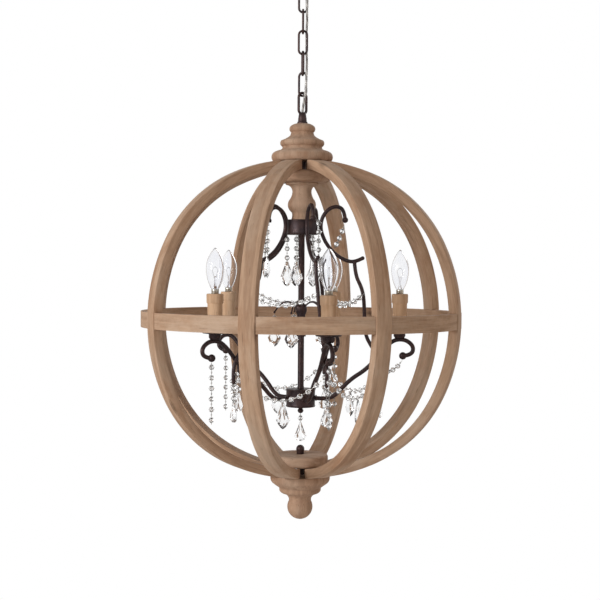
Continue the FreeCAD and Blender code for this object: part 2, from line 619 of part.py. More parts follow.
def lamp_wires():
    """The cord's cores inside the tube and the rod, and a lead through each arm to its lamp."""
    trunk = cylinder(CORD_R, LOW_HUB_TOP - 6, CORD_ROUTE[0][2])
    crest = ARM_LINE[8][1]
    line = [(6, ARM_LINE[0][1]), (20, ARM_LINE[0][1])] + list(ARM_LINE[1:9])
    line += [(CANDLE_R, crest), (CANDLE_R, CUP_TOP)]
    lead = bar_along(in_plane(line), 1.0)
    save("lamp_wires", trunk, *around(lead, ARM_COUNT, FIRST_ARM))


# ---------------------------------------------------------------- crystals
KITE = pendant(46.0, 25.0, 8.0)
SMALL_KITE = pendant(36.0, 22.0, 8.0)
PRISM = pendant(45.0, 15.0, 9.0)
DROP_TURN = 12.0            # the drops near the axis face the front, but for this turn


def arm_azimuth(k):
    return FIRST_ARM + 360.0 / ARM_COUNT * (k - 1)


def beside(r, z, side, azimuth):
    """The point (r, z) in an arm's plane, moved sideways out of it."""
    return on_azimuth(math.hypot(r, side), z, azimuth + math.degrees(math.atan2(side, r)))


def moving_strings():
    """Strings that hang free: one under the ball of each arm but the swag arm, and one under the
    foot of each cage bar."""
    number = 0
    for k in range(1, ARM_COUNT + 1):
        azimuth = arm_azimuth(k)
        if k != SWAG_ARM:
            number += 1
            save(f"arm_string_{number}", hanging(on_azimuth(ARM_BALL[0], BALL_UNDER, azimuth), 6))
        foot_r, foot_z = BAR_LINE[-1]
        foot = beside(foot_r, foot_z - 0.4, BAR_SIDE, azimuth)
        save(f"bar_drop_{k}", hanging(foot, 2, SMALL_KITE, azimuth))


def scroll_drops():
    """Beads and a prism from each upper scroll's ball, past the side of the scroll. On the swag
    arm the beads run back to the scroll instead."""
    ball_r, ball_z = SCROLL_LINE[0]
    ball_z -= 1.0
    side = SCROLL_BAR_R + BEAD_R + 1.3
    drops = []
    for k in range(1, ARM_COUNT + 1):
        azimuth = arm_azimuth(k)
        if k == SWAG_ARM:
            start = on_azimuth(ball_r, ball_z - SCROLL_BALL_R - 0.2, azimuth)
            drops.append(swag(start, on_azimuth(60.0, 130.3, azimuth), 4, 3))
        else:
            tie = beside(ball_r, ball_z, SCROLL_BALL_R, azimuth)
            top = beside(ball_r, ball_z, side, azimuth)
            drops.append(hanging(top, 4, PRISM, azimuth + 90, step=16.0, tie=tie))
    save("scroll_drops", *drops)


def drops_at_the_axis():
    """Strings under the upper hub, one under the lower hub, and one on each hook of the crown. Their
    drops face the front."""
    under_hub, finial_tip = [], Vec(0, 0, LOW_HUB_BOTTOM - FINIAL_DROP)
    under_hooks = []
    hook_r, hook_z = HOOK_LINE[-1]
    for k in range(1, ARM_COUNT + 1):
        azimuth = arm_azimuth(k) + 180.0 / ARM_COUNT
        edge = on_azimuth(UPPER_HUB_R - 4, HUB_BOTTOM, azimuth)
        under_hub.append(hanging(edge, 3, KITE, DROP_TURN, step=17.0))
        eye_foot = on_azimuth(hook_r, hook_z - HOOK_EYE_R, azimuth)
        under_hooks.append(hanging(eye_foot, 1, KITE, -DROP_TURN))
    save("hub_drops", *under_hub, hanging(finial_tip, 1, SMALL_KITE))
    save("crown_drops", *under_hooks)


def garlands():
    """Swags from bar to bar, high and low on the cage, and the one swag from an arm's ball."""
    strings = []
    upper_r, upper_z = BAR_LINE[3][0] + 0.5, BAR_LINE[3][1] + 8
    low_r, low_z = BAR_LINE[-2]
    for k in range(1, ARM_COUNT + 1):
        here, there = arm_azimuth(k), arm_azimuth(k + 1)
        strings.append(swag(beside(upper_r, upper_z, SCROLL_BAR_R, here),
                            beside(upper_r, upper_z, -SCROLL_BAR_R, there), 22, 8))
        strings.append(swag(beside(low_r, low_z, BAR_SIDE + SCROLL_BAR_R, here),
                            beside(low_r, low_z, BAR_SIDE - SCROLL_BAR_R, there), 46, 10, KITE))
    swag_azimuth = arm_azimuth(SWAG_ARM)
    ball = on_azimuth(ARM_BALL[0], BALL_UNDER, swag_azimuth)
    strings.append(swag(ball, beside(low_r + SCROLL_BAR_R, low_z, BAR_SIDE, swag_azimuth), 9, 3))
    save("bead_garlands", *strings)


ceiling_fitting()
chain()
supply_cord()
orb_frame()
turned_wood()
pole_hardware()
hubs_and_rod()
rod_crown()
arms_and_cage()
candles()
lamp_wires()
moving_strings()
scroll_drops()
drops_at_the_axis()
garlands()
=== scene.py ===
"""Looks of the orb chandelier. The origin is on the ceiling, +Z is up, azimuth 0 faces -Y and
grows towards +X. Outlines are in millimetres, with heights counted from the orb's centre, and
every mesh is made in metres at its place under the ceiling."""
import math
import random
from contextlib import contextmanager

import bmesh
import bpy
from mathutils import Matrix, Vector


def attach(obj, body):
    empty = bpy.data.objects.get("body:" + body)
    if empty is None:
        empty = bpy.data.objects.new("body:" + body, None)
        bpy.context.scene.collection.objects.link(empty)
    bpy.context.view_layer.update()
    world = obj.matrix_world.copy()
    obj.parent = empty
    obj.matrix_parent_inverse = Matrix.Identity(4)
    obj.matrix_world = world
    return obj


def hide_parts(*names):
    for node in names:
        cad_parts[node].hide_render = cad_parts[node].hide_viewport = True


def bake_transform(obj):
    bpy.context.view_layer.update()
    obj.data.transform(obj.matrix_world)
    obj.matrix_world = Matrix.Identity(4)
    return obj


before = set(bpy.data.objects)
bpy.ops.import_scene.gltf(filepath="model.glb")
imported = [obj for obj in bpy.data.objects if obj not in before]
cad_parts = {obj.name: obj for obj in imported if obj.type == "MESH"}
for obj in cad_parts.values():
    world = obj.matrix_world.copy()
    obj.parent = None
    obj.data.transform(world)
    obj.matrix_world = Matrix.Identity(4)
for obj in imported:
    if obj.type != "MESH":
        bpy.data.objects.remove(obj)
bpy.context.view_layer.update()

MM = 0.001
ORB_DROP = 680.0
ORB = Vector((0, 0, -ORB_DROP * MM))
FULL_TURN = 2 * math.pi
UP = Vector((0, 0, 1))
chance = random.Random(11)

# sizes that the solids have too, in millimetres
ORB_R, POLE_FLAT = 300.0, 293.0
RIB_BENDS = ((330.0, 25.0), (260.0, 65.0), (339.0, 90.0))      # outside: radius, where it ends
RIB_WIDTH, RIB_THICK, RIB_END_R, LAP_R = 30.0, 18.0, 46.0, 291.0
RIB_COUNT, FIRST_RIB = 8, -17.5
BAND_R, BAND_HEIGHT = 298.0, 29.0
ARM_COUNT, FIRST_ARM, SWAG_ARM = 5, 15.0, 2
HUB_TOP, HUB_BOTTOM = 185.0, 157.0
LOW_HUB_TOP, LOW_HUB_BOTTOM = -131.0, -165.0
UPPER_HUB_R, LOWER_HUB_R, ROD_R, BORE_R = 31.0, 28.0, 6.3, 6.7
CAP_TOP, CAP_FACE = 363.0, POLE_FLAT - RIB_THICK - 0.02
DISC_THICK = 21.0
CANDLE_R, CUP_TOP, SADDLE = 184.0, -21.0, -34.5
SLEEVE_TOP, SLEEVE_BORE, SOCKET_TOP, SOCKET_FLOOR = 48.0, 11.0, 44.0, 22.0
GLASS_LOW, GLASS_TOP, GLASS_R = 56.0, 130.0, 16.6
FIRST_CONTACT, LINK_PITCH, LINK_WIDTH, WIRE_D, LOOP_WIRE_D = 417.0, 38.5, 19.5, 4.2, 5.0
LINK_TURNS, LOOP_TURN, PLAY, LOOP_PLAY = (-28.0, 98.0, 0.0, 90.0, 0.0), 28.0, 0.15, 0.7
BEAD_R, BEAD_STEP, PIN_R, DROP_TURN = 5.3, 19.0, 0.42, 12.0


# ---------------------------------------------------------------- modelling helpers
def spot(x, y, z):
    """A place in the orb, given in millimetres, as metres under the ceiling."""
    return Vector((x, y, z - ORB_DROP)) * MM


def on_azimuth(r, z, azimuth, side=0.0):
    """The point (r, z) in the upright plane of an azimuth, moved sideways out of it."""
    a = math.radians(azimuth)
    return spot(r * math.sin(a) + side * math.cos(a), side * math.sin(a) - r * math.cos(a), z)


def arm_azimuth(k):
    return FIRST_ARM + 360.0 / ARM_COUNT * (k - 1)


def only(*objects):
    bpy.ops.object.select_all(action="DESELECT")
    for obj in objects:
        obj.select_set(True)
    bpy.context.view_layer.objects.active = objects[0]


def added(primitive, **settings):
    """A new primitive, with nothing else selected."""
    bpy.ops.object.select_all(action="DESELECT")
    primitive(**settings)
    return bpy.context.object


@contextmanager
def editing(obj):
    only(obj)
    bpy.ops.object.mode_set(mode="EDIT")
    bpy.ops.mesh.select_mode(type="VERT")
    bpy.ops.mesh.select_all(action="SELECT")
    yield
    bpy.ops.object.mode_set(mode="OBJECT")


def pick_faces(obj, wanted):
    """In edit mode, selects just the faces that the test accepts."""
    bpy.ops.mesh.select_mode(type="FACE")
    bpy.ops.mesh.select_all(action="DESELECT")
    mesh = bmesh.from_edit_mesh(obj.data)
    for face in mesh.faces:
        if wanted(face):
            face.select_set(True)
    bmesh.update_edit_mesh(obj.data)


def tidy_normals():
    bpy.ops.mesh.select_all(action="SELECT")
    bpy.ops.mesh.remove_doubles(threshold=1e-6)
    bpy.ops.mesh.normals_make_consistent(inside=False)


def finish_with(obj, kind, **settings):
    modifier = obj.modifiers.new(kind, kind)
    for key, value in settings.items():
        setattr(modifier, key, value)
    only(obj)
    bpy.ops.object.modifier_apply(modifier=modifier.name)


def round_edges(obj, width, segments=2):
    finish_with(obj, "BEVEL", width=width * MM, segments=segments, limit_method="ANGLE",
                angle_limit=math.radians(38.0), use_clamp_overlap=True)


def smooth(obj, angle=42.0):
    only(obj)
    bpy.ops.object.shade_smooth_by_angle(angle=math.radians(angle))
    return obj


def copy_of(obj, matrix=None):
    twin = obj.copy()
    twin.data = obj.data.copy()
    bpy.context.scene.collection.objects.link(twin)
    if matrix:
        twin.data.transform(matrix)
    return twin


def turned_by(obj, azimuth):
    """A copy of a piece modelled on +X, turned about Z to point along the azimuth."""
    return copy_of(obj, Matrix.Rotation(math.radians(azimuth - 90.0), 4, "Z"))


def around(obj, count, first):
    copies = [turned_by(obj, first + 360.0 / count * k) for k in range(count)]
    bpy.data.objects.remove(obj)
    return copies


def joined(objects):
    only(*objects)
    if len(objects) > 1:
        bpy.ops.object.join()
    return bpy.context.view_layer.objects.active


def piece(obj, name, body, material, replaces=()):
    """Names a finished piece, gives it its finish and sets it on its body, if it has just one."""
    obj.name = name
    obj.data.name = name
    obj.data.materials.clear()
    obj.data.materials.append(material)
    if body:
        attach(obj, body)
    if replaces:
        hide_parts(*replaces)


def metal(obj, name, node, body="orb"):
    """A dark bronze piece that stands for one node."""
    piece(obj, name, body, bronze, [node])


def metal_on_each_arm(obj, name, node):
    """Copies of a piece modelled on +X, one at each arm, each a numbered piece of its own."""
    for k, copy in enumerate(around(obj, ARM_COUNT, FIRST_ARM), 1):
        metal(copy, f"{name}_{k}", f"{node}_{k}")


def on_arms(obj, name, material, replaces=()):
    """Copies of a piece modelled on +X, one at each arm, as one piece of the orb."""
    piece(joined(around(obj, ARM_COUNT, FIRST_ARM)), name, "orb", material, replaces)


def arc_points(start, middle, end, cuts):
    """The points after the start, on the arc that goes through the middle to the end."""
    (ax, az), (bx, bz), (cx, cz) = start, middle, end
    a2, b2, c2 = ax * ax + az * az, bx * bx + bz * bz, cx * cx + cz * cz
    d = 2 * (ax * (bz - cz) + bx * (cz - az) + cx * (az - bz))
    ux = (a2 * (bz - cz) + b2 * (cz - az) + c2 * (az - bz)) / d
    uz = (a2 * (cx - bx) + b2 * (ax - cx) + c2 * (bx - ax)) / d
    radius = math.hypot(ax - ux, az - uz)
    first, last = math.atan2(az - uz, ax - ux), math.atan2(cz - uz, cx - ux)
    anticlockwise = (bx - ax) * (cz - az) - (bz - az) * (cx - ax) > 0
    if anticlockwise and last < first:
        last += FULL_TURN
    if not anticlockwise and last > first:
        last -= FULL_TURN
    turns = [first + (last - first) * k / cuts for k in range(1, cuts + 1)]
    return [(ux + radius * math.cos(t), uz + radius * math.sin(t)) for t in turns]


def drawn(points):
    """In edit mode, merges the seed to one vertex and extrudes it from point to point."""
    bpy.ops.mesh.merge(type="CENTER")
    bpy.ops.transform.translate(value=points[0])
    for here, there in zip(points, points[1:]):
        bpy.ops.mesh.extrude_region_move(TRANSFORM_OT_translate={"value": there - here})


def seed():
    return added(bpy.ops.mesh.primitive_plane_add, size=MM)


def turned(steps, sides=64, edge=0.5, cuts=7, place=(0.0, 0.0)):
    """Turns an outline about an upright axis at the place. A step of two numbers is a corner
    (r, z), and a step of four is an arc: a point on its way, then its end. An outline that does
    not start and end on the axis is closed."""
    outline = [steps[0]]
    for step in steps[1:]:
        if len(step) == 4:
            outline += arc_points(outline[-1], step[:2], step[2:], cuts)
        else:
            outline.append(step)
    if outline[0][0] > 0 or outline[-1][0] > 0:
        outline.append(outline[0])
    axis_x, axis_y = place
    points = [spot(axis_x + r, axis_y, z) for r, z in outline]
    obj = seed()
    with editing(obj):
        drawn(points)
        bpy.ops.mesh.select_all(action="SELECT")
        bpy.ops.mesh.spin(steps=sides, angle=FULL_TURN, center=(axis_x * MM, axis_y * MM, 0), axis=UP)
        tidy_normals()
    if edge:
        round_edges(obj, edge)
    return smooth(obj)


def round_bar(points, spline_kind, radius, rings):
    """A round bar along a new spline with the points, and that spline."""
    data = bpy.data.curves.new("bar", "CURVE")
    data.dimensions = "3D"
    data.bevel_depth = radius * MM
    data.bevel_resolution = rings
    spline = data.splines.new(spline_kind)
    spline.points.add(len(points) - 1)
    for control, point in zip(spline.points, points):
        control.co = (*point, 1)
    obj = bpy.data.objects.new("bar", data)
    bpy.context.scene.collection.objects.link(obj)
    return obj, spline


def bar(points, radius, rings=5, smoothness=8):
    """A round bar on a smooth line that the points pull into shape."""
    obj, spline = round_bar(points, "NURBS", radius, rings)
    obj.data.resolution_u = smoothness
    obj.data.use_fill_caps = True
    spline.order_u = 3
    spline.use_endpoint_u = True
    return obj


def as_mesh(obj):
    only(obj)
    bpy.ops.object.convert(target="MESH")
    obj = bpy.context.view_layer.objects.active
    with editing(obj):
        tidy_normals()
    return obj


def ball(radius, centre, segments=28, rings=18):
    obj = added(bpy.ops.mesh.primitive_uv_sphere_add, segments=segments, ring_count=rings,
                radius=radius * MM)
    obj.data.transform(Matrix.Translation(centre))
    return obj


def ring(radius, wire_r, matrix, major=24, minor=8):
    """A small ring of wire, flat in XY before the matrix sets it in place."""
    obj = added(bpy.ops.mesh.primitive_torus_add, major_segments=major, minor_segments=minor,
                major_radius=radius * MM, minor_radius=wire_r * MM)
    obj.data.transform(matrix)
    return obj


def facing(place, direction, turn=0.0):
    """A matrix that sets +Z along the direction at the place, after a turn about it."""
    tilt = UP.rotation_difference(direction).to_matrix().to_4x4()
    return Matrix.Translation(place) @ tilt @ Matrix.Rotation(turn, 4, "Z")


# ---------------------------------------------------------------- shader helpers
class Graph:
    """Adds nodes to a tree: inputs take a value or another node's socket."""

    def __init__(self, tree):
        self.tree = tree

    def add(self, kind, inputs=None, **settings):
        node = self.tree.nodes.new(kind)
        for key, value in settings.items():
            setattr(node, key, value)
        for key, value in (inputs or {}).items():
            if isinstance(value, bpy.types.NodeSocket):
                self.tree.links.new(value, node.inputs[key])
            else:
                node.inputs[key].default_value = value
        return node

    def math(self, operation, a, b=0.0):
        return self.add("ShaderNodeMath", {0: a, 1: b}, operation=operation).outputs[0]

    def times(self, a, b):
        return self.math("MULTIPLY", a, b)

    def mix(self, share, a, b):
        return self.add("ShaderNodeMix", {0: share, 6: a, 7: b}, data_type="RGBA").outputs[2]

    def grey(self, level):
        return self.add("ShaderNodeCombineColor", {0: level, 1: level, 2: level}).outputs[0]

    def here(self):
        """The point's own place, in metres."""
        return self.add("ShaderNodeTexCoord").outputs["Object"]

    def span(self, value, low, high, to_low=0.0, to_high=1.0):
        inputs = {0: value, 1: low, 2: high, 3: to_low, 4: to_high}
        return self.add("ShaderNodeMapRange", inputs, interpolation_type="SMOOTHSTEP").outputs[0]

    def stretched(self, vector, scale, shift=(0, 0, 0)):
        inputs = {"Vector": vector, "Scale": scale, "Location": shift}
        return self.add("ShaderNodeMapping", inputs).outputs[0]

    def noise(self, vector, scale=1.0, detail=4.0, rough=0.55, distortion=0.0):
        inputs = {"Vector": vector, "Scale": scale, "Detail": detail, "Roughness": rough,
                  "Distortion": distortion}
        return self.add("ShaderNodeTexNoise", inputs).outputs[0]

    def place(self, label, **values):
        """Places a node group and sets its inputs by name, underscores for spaces."""
        node = self.add("ShaderNodeGroup", node_tree=bpy.data.node_groups[label])
        for key, value in values.items():
            socket = node.inputs[key.replace("_", " ")]
            if isinstance(value, bpy.types.NodeSocket):
                self.tree.links.new(value, socket)
            else:
                socket.default_value = value
        return node.outputs


COLOR, FLOAT, VECTOR = "NodeSocketColor", "NodeSocketFloat", "NodeSocketVector"
BLACK, WHITE, NOWHERE = (0, 0, 0, 1), (1, 1, 1, 1), (0, 0, 0)


def group(name, inputs, outputs):
    """A new shader group: its graph, its input sockets and its output node's inputs."""
    tree = bpy.data.node_groups.new(name, "ShaderNodeTree")
    for label, kind, value in inputs:
        tree.interface.new_socket(label, in_out="INPUT", socket_type=kind).default_value = value
    for label, kind in outputs:
        tree.interface.new_socket(label, in_out="OUTPUT", socket_type=kind)
    graph = Graph(tree)
    return graph, graph.add("NodeGroupInput").outputs, graph.add("NodeGroupOutput")


def srgb(red, green, blue):
    """A screen colour from 0 to 255 as the shader's linear colour."""
    return (*(((c / 255 + 0.055) / 1.055) ** 2.4 for c in (red, green, blue)), 1.0)


def material(name, **settings):
    """A material with one Principled shader: its graph and that shader."""
    made = bpy.data.materials.new(name)
    made.use_nodes = True
    shader = made.node_tree.nodes["Principled BSDF"]
    for key, value in settings.items():
        shader.inputs[key.replace("_", " ")].default_value = value
    return made, Graph(made.node_tree), shader


def feed(graph, node, **sockets):
    """Links sockets to a node's inputs by name, underscores for spaces."""
    for key, socket in sockets.items():
        graph.tree.links.new(socket, node.inputs[key.replace("_", " ")])


def bumped(graph, shader, height, depth, strength):
    node = graph.add("ShaderNodeBump", {"Height": height, "Distance": depth * MM, "Strength": strength})
    feed(graph, shader, Normal=node.outputs[0])


def wood_grain_group():
    """Weathered timber. Grain holds metres along, across and through the plank."""
    graph, given, out = group("wood grain", [
        ("Grain", VECTOR, NOWHERE), ("Light", COLOR, WHITE), ("Dark", COLOR, BLACK),
        ("Wash", COLOR, WHITE), ("Warm", COLOR, BLACK), ("Washed", FLOAT, 0.4), ("Knots", FLOAT, 1.0)],
        [("Color", COLOR), ("Height", FLOAT), ("Roughness", FLOAT)])
    grain = given["Grain"]
    year = graph.noise(graph.stretched(grain, (7, 95, 95)), detail=3, distortion=0.6)
    fibre = graph.noise(graph.stretched(grain, (45, 900, 900)), detail=3, rough=0.6)
    pore = graph.noise(graph.stretched(grain, (26, 520, 520), (3, 1, 7)), detail=2, rough=0.5)
    patch = graph.noise(graph.stretched(grain, (5, 16, 16), (9, 4, 2)), detail=4, rough=0.6)
    knot = graph.add("ShaderNodeTexVoronoi", {"Vector": graph.stretched(grain, (7, 20, 20), (2, 5, 1)),
                                              "Scale": 1.0, "Randomness": 1.0}, feature="F1")
    near = graph.span(knot.outputs["Distance"], 0.03, 0.16, 1.0, 0.0)
    some = graph.span(graph.noise(knot.outputs["Position"], 3.7, 0), 0.56, 0.6)
    knots = graph.times(graph.times(near, some), given["Knots"])
    bands = graph.span(year, 0.38, 0.66)
    color = graph.mix(graph.times(bands, 0.48), given["Light"], given["Dark"])
    color = graph.mix(graph.span(fibre, 0.35, 0.75, 0.0, 0.34), color, given["Dark"])
    washed = graph.times(graph.span(patch, 0.45, 0.68), given["Washed"])
    color = graph.mix(washed, color, given["Wash"])
    blotch = graph.noise(graph.stretched(grain, (9, 22, 22), (1, 8, 3)), detail=5, rough=0.65)
    color = graph.mix(graph.span(blotch, 0.5, 0.72, 0.0, 0.5), color, given["Warm"])
    cracks = graph.span(pore, 0.66, 0.74)
    color = graph.mix(graph.times(cracks, 0.45), color, graph.mix(0.6, given["Dark"], BLACK))
    color = graph.mix(graph.times(knots, 0.75), color, graph.mix(0.5, given["Dark"], BLACK))
    height = graph.math("ADD", graph.times(fibre, 0.45), graph.times(bands, -0.35))
    height = graph.math("SUBTRACT", height, graph.times(cracks, 0.9))
    feed(graph, out, Color=color, Height=height, Roughness=graph.span(fibre, 0.3, 0.8, 0.68, 0.9))


def edge_wear_group():
    """A mask that is 1 on rubbed edges, broken up by noise."""
    graph, given, out = group("edge wear", [
        ("Vector", VECTOR, NOWHERE), ("Amount", FLOAT, 1.0), ("Grit", FLOAT, 160.0)], [("Mask", FLOAT)])
    edge = graph.span(graph.add("ShaderNodeNewGeometry").outputs["Pointiness"], 0.515, 0.58)
    grit = graph.span(graph.noise(given["Vector"], given["Grit"], 4, 0.65), 0.35, 0.65)
    feed(graph, out, Mask=graph.times(graph.times(edge, grit), given["Amount"]))


def dust_group():
    """A mask of fine dust on what faces up."""
    graph, given, out = group("dust", [("Vector", VECTOR, NOWHERE), ("Amount", FLOAT, 0.3)],
                              [("Mask", FLOAT)])
    normal = graph.add("ShaderNodeNewGeometry").outputs["Normal"]
    up = graph.span(graph.add("ShaderNodeSeparateXYZ", {0: normal}).outputs[2], 0.25, 0.95)
    drift = graph.span(graph.noise(given["Vector"], 60.0, 5, 0.6), 0.3, 0.7, 0.35, 1.0)
    feed(graph, out, Mask=graph.times(graph.times(up, drift), given["Amount"]))


def brushed_paint_group():
    """Hand-rubbed dark paint on metal: mottled colour, roughness and a slight unevenness."""
    graph, given, out = group("brushed paint", [
        ("Vector", VECTOR, NOWHERE), ("Base", COLOR, BLACK), ("Warm", COLOR, BLACK),
        ("Rough", FLOAT, 0.4)], [("Color", COLOR), ("Height", FLOAT), ("Roughness", FLOAT)])
    mottle = graph.noise(given["Vector"], 55.0, 5, 0.6)
    fine = graph.noise(given["Vector"], 420.0, 3, 0.6)
    color = graph.mix(graph.span(mottle, 0.38, 0.7), given["Base"], given["Warm"])
    height = graph.math("ADD", graph.times(mottle, 0.7), graph.times(fine, 0.3))
    rough = graph.math("ADD", given["Rough"], graph.span(fine, 0.3, 0.7, -0.07, 0.1))
    feed(graph, out, Color=color, Height=height, Roughness=rough)


wood_grain_group()
edge_wear_group()
dust_group()
brushed_paint_group()


# ---------------------------------------------------------------- the lamp's finishes
WOOD_WASH, WOOD_WARM, CORD_TWISTS = srgb(207, 186, 165), srgb(158, 114, 82), 9


def weathered_wood(name, light, dark, washed, knots):
    made, graph, shader = material(name, Specular_IOR_Level=0.28)
    grain = graph.add("ShaderNodeAttribute", attribute_name="grain").outputs["Vector"]
    here = graph.here()
    look = graph.place("wood grain", Grain=grain, Light=light, Dark=dark, Wash=WOOD_WASH,
                       Washed=washed, Warm=WOOD_WARM, Knots=knots)
    worn = graph.place("edge wear", Vector=here, Amount=0.45, Grit=140.0)["Mask"]
    dusty = graph.place("dust", Vector=here, Amount=0.2)["Mask"]
    color = graph.mix(worn, look["Color"], WOOD_WASH)
    color = graph.mix(dusty, color, srgb(206, 196, 182))
    feed(graph, shader, Base_Color=color, Roughness=look["Roughness"])
    bumped(graph, shader, look["Height"], 0.35, 0.55)
    return made


def dark_bronze():
    made, graph, shader = material("dark bronze", Metallic=0.55, Specular_IOR_Level=0.5)
    here = graph.here()
    look = graph.place("brushed paint", Vector=here, Base=srgb(50, 38, 41), Warm=srgb(72, 52, 50), Rough=0.42)
    worn = graph.place("edge wear", Vector=here, Amount=0.22, Grit=220.0)["Mask"]
    dusty = graph.place("dust", Vector=here, Amount=0.07)["Mask"]
    color = graph.mix(worn, look["Color"], srgb(122, 92, 70))
    color = graph.mix(dusty, color, srgb(150, 138, 128))
    feed(graph, shader, Base_Color=color, Roughness=look["Roughness"])
    bumped(graph, shader, look["Height"], 0.12, 0.4)
    return made


def plain_metal(name, base, warm, rough):
    made, graph, shader = material(name, Metallic=1.0)
    look = graph.place("brushed paint", Vector=graph.here(), Base=base, Warm=warm, Rough=rough)
    feed(graph, shader, Base_Color=look["Color"], Roughness=look["Roughness"])
    bumped(graph, shader, look["Height"], 0.03, 0.3)
    return made


def clear_glass(name, tint, ior):
    """Clear glass with faint streaks in its gloss."""
    made, graph, shader = material(name, Transmission_Weight=1.0, IOR=ior)
    streaks = graph.noise(graph.stretched(graph.here(), (90, 90, 25)), 1.0, 2)
    color = graph.mix(graph.span(streaks, 0.35, 0.7), tint, WHITE)
    feed(graph, shader, Base_Color=color, Roughness=graph.span(streaks, 0.3, 0.8, 0.0, 0.03))
    return made


def moulded(name, base, shade, rough):
    made, graph, shader = material(name)
    speck = graph.noise(graph.here(), 260.0, 3)
    feed(graph, shader, Base_Color=graph.mix(graph.span(speck, 0.35, 0.7), base, shade),
         Roughness=graph.span(speck, 0.3, 0.7, rough, rough + 0.12))
    bumped(graph, shader, speck, 0.02, 0.3)
    return made


def clear_cord():
    """Clear sheath over two twisted tinned cores, which show as slanted silver bands."""
    made, graph, shader = material("clear cord", Transmission_Weight=0.25, IOR=1.45, Coat_Weight=0.6)
    mapped = graph.add("ShaderNodeTexCoord").outputs["UV"]
    parts = graph.add("ShaderNodeSeparateXYZ", {0: mapped}).outputs
    slant = graph.math("ADD", graph.times(parts[0], 2 * CORD_TWISTS), graph.times(parts[1], 2.0))
    core = graph.span(graph.math("SINE", graph.times(slant, math.pi)), -0.35, 0.45)
    color = graph.mix(core, srgb(150, 148, 146), srgb(214, 212, 208))
    feed(graph, shader, Base_Color=color, Roughness=graph.span(core, 0.0, 1.0, 0.22, 0.34))
    bumped(graph, shader, core, 0.15, 0.5)
    return made


frame_wood = weathered_wood("weathered wood", srgb(198, 165, 137), srgb(136, 101, 76), 0.45, 1.0)
turned_wood = weathered_wood("turned wood", srgb(190, 156, 130), srgb(134, 100, 78), 0.35, 0.3)
candle_wood = weathered_wood("candle wood", srgb(228, 194, 160), srgb(182, 140, 104), 0.3, 0.2)
bronze = dark_bronze()
zinc = plain_metal("zinc plated steel", srgb(178, 178, 174), srgb(156, 154, 148), 0.36)
lamp_metal = plain_metal("lamp base metal", srgb(196, 190, 178), srgb(150, 142, 128), 0.28)
pin_metal = plain_metal("pin wire", srgb(186, 184, 180), srgb(140, 136, 130), 0.25)
filament_metal = plain_metal("filament wire", srgb(166, 160, 156), srgb(136, 130, 126), 0.4)
crystal = clear_glass("cut crystal", (0.97, 0.975, 0.98, 1), 1.56)
lamp_glass = clear_glass("lamp glass", (0.955, 0.96, 0.985, 1), 1.22)
holder_plastic = moulded("lamp holder", srgb(60, 54, 50), srgb(46, 42, 40), 0.4)
white_plastic = moulded("terminal plastic", srgb(226, 222, 212), srgb(212, 208, 198), 0.42)
lead_plastic = moulded("lead insulation", srgb(206, 204, 198), srgb(190, 188, 182), 0.3)
cord_finish = clear_cord()


# ---------------------------------------------------------------- camera, light and floor
CAMERA_DISTANCE, CAMERA_RISE, CAMERA_ROLL = 2.301, 2.28, 0.379     # metres, degrees
PHOTO_SIZE, FOCAL_PIXELS = 600.0, 1228.6
ORB_PIXEL = (301.12, 318.81)       # where the orb's centre is in the photograph
FLOOR_DROP = 2.25
AROUND = (0.38, 0.345, 0.318, 1)    # the even light that reaches matt surfaces from all sides


def camera():
    data = bpy.data.cameras.new("camera")
    data.sensor_width = 36.0
    data.lens = FOCAL_PIXELS / PHOTO_SIZE * data.sensor_width
    data.shift_x = -(ORB_PIXEL[0] - PHOTO_SIZE / 2) / PHOTO_SIZE
    data.shift_y = (ORB_PIXEL[1] - PHOTO_SIZE / 2) / PHOTO_SIZE
    obj = bpy.data.objects.new("camera", data)
    bpy.context.scene.collection.objects.link(obj)
    rise = math.radians(CAMERA_RISE)
    back = Vector((0, -math.cos(rise), math.sin(rise)))
    aim = back.to_track_quat("Z", "Y").to_matrix().to_4x4()
    roll = Matrix.Rotation(math.radians(CAMERA_ROLL), 4, "Z")
    obj.matrix_world = Matrix.Translation(ORB + back * CAMERA_DISTANCE) @ aim @ roll
    bpy.context.scene.camera = obj


def softbox(name, place, size, power, tint=(1, 1, 1)):
    data = bpy.data.lights.new(name, "AREA")
    data.shape, data.size, data.energy, data.color = "DISK", size, power, tint
    obj = bpy.data.objects.new(name, data)
    bpy.context.scene.collection.objects.link(obj)
    aim = (Vector(place) - ORB).to_track_quat("Z", "Y").to_matrix().to_4x4()
    obj.matrix_world = Matrix.Translation(place) @ aim


def surroundings():
    """White all round for the camera. Glass sees white near the level of the eye and grey
    above and below, which draws its facets."""
    world = bpy.data.worlds.new("studio")
    bpy.context.scene.world = world
    world.use_nodes = True
    graph = Graph(world.node_tree)
    world.node_tree.nodes.clear()
    path = graph.add("ShaderNodeLightPath").outputs
    direction = graph.add("ShaderNodeTexCoord").outputs["Generated"]
    height = graph.add("ShaderNodeSeparateXYZ", {0: direction}).outputs[2]
    off_level = graph.math("ABSOLUTE", height)
    through = graph.span(off_level, 0.3, 0.62, 1.0, 0.42)
    shine = graph.span(off_level, 0.25, 0.8, 0.95, 0.35)
    color = graph.mix(path["Is Transmission Ray"], AROUND, graph.grey(through))
    color = graph.mix(path["Is Glossy Ray"], color, graph.grey(shine))
    color = graph.mix(path["Is Camera Ray"], color, WHITE)
    sky = graph.add("ShaderNodeBackground", {"Color": color, "Strength": 1.0})
    output = graph.add("ShaderNodeOutputWorld")
    world.node_tree.links.new(sky.outputs[0], output.inputs[0])


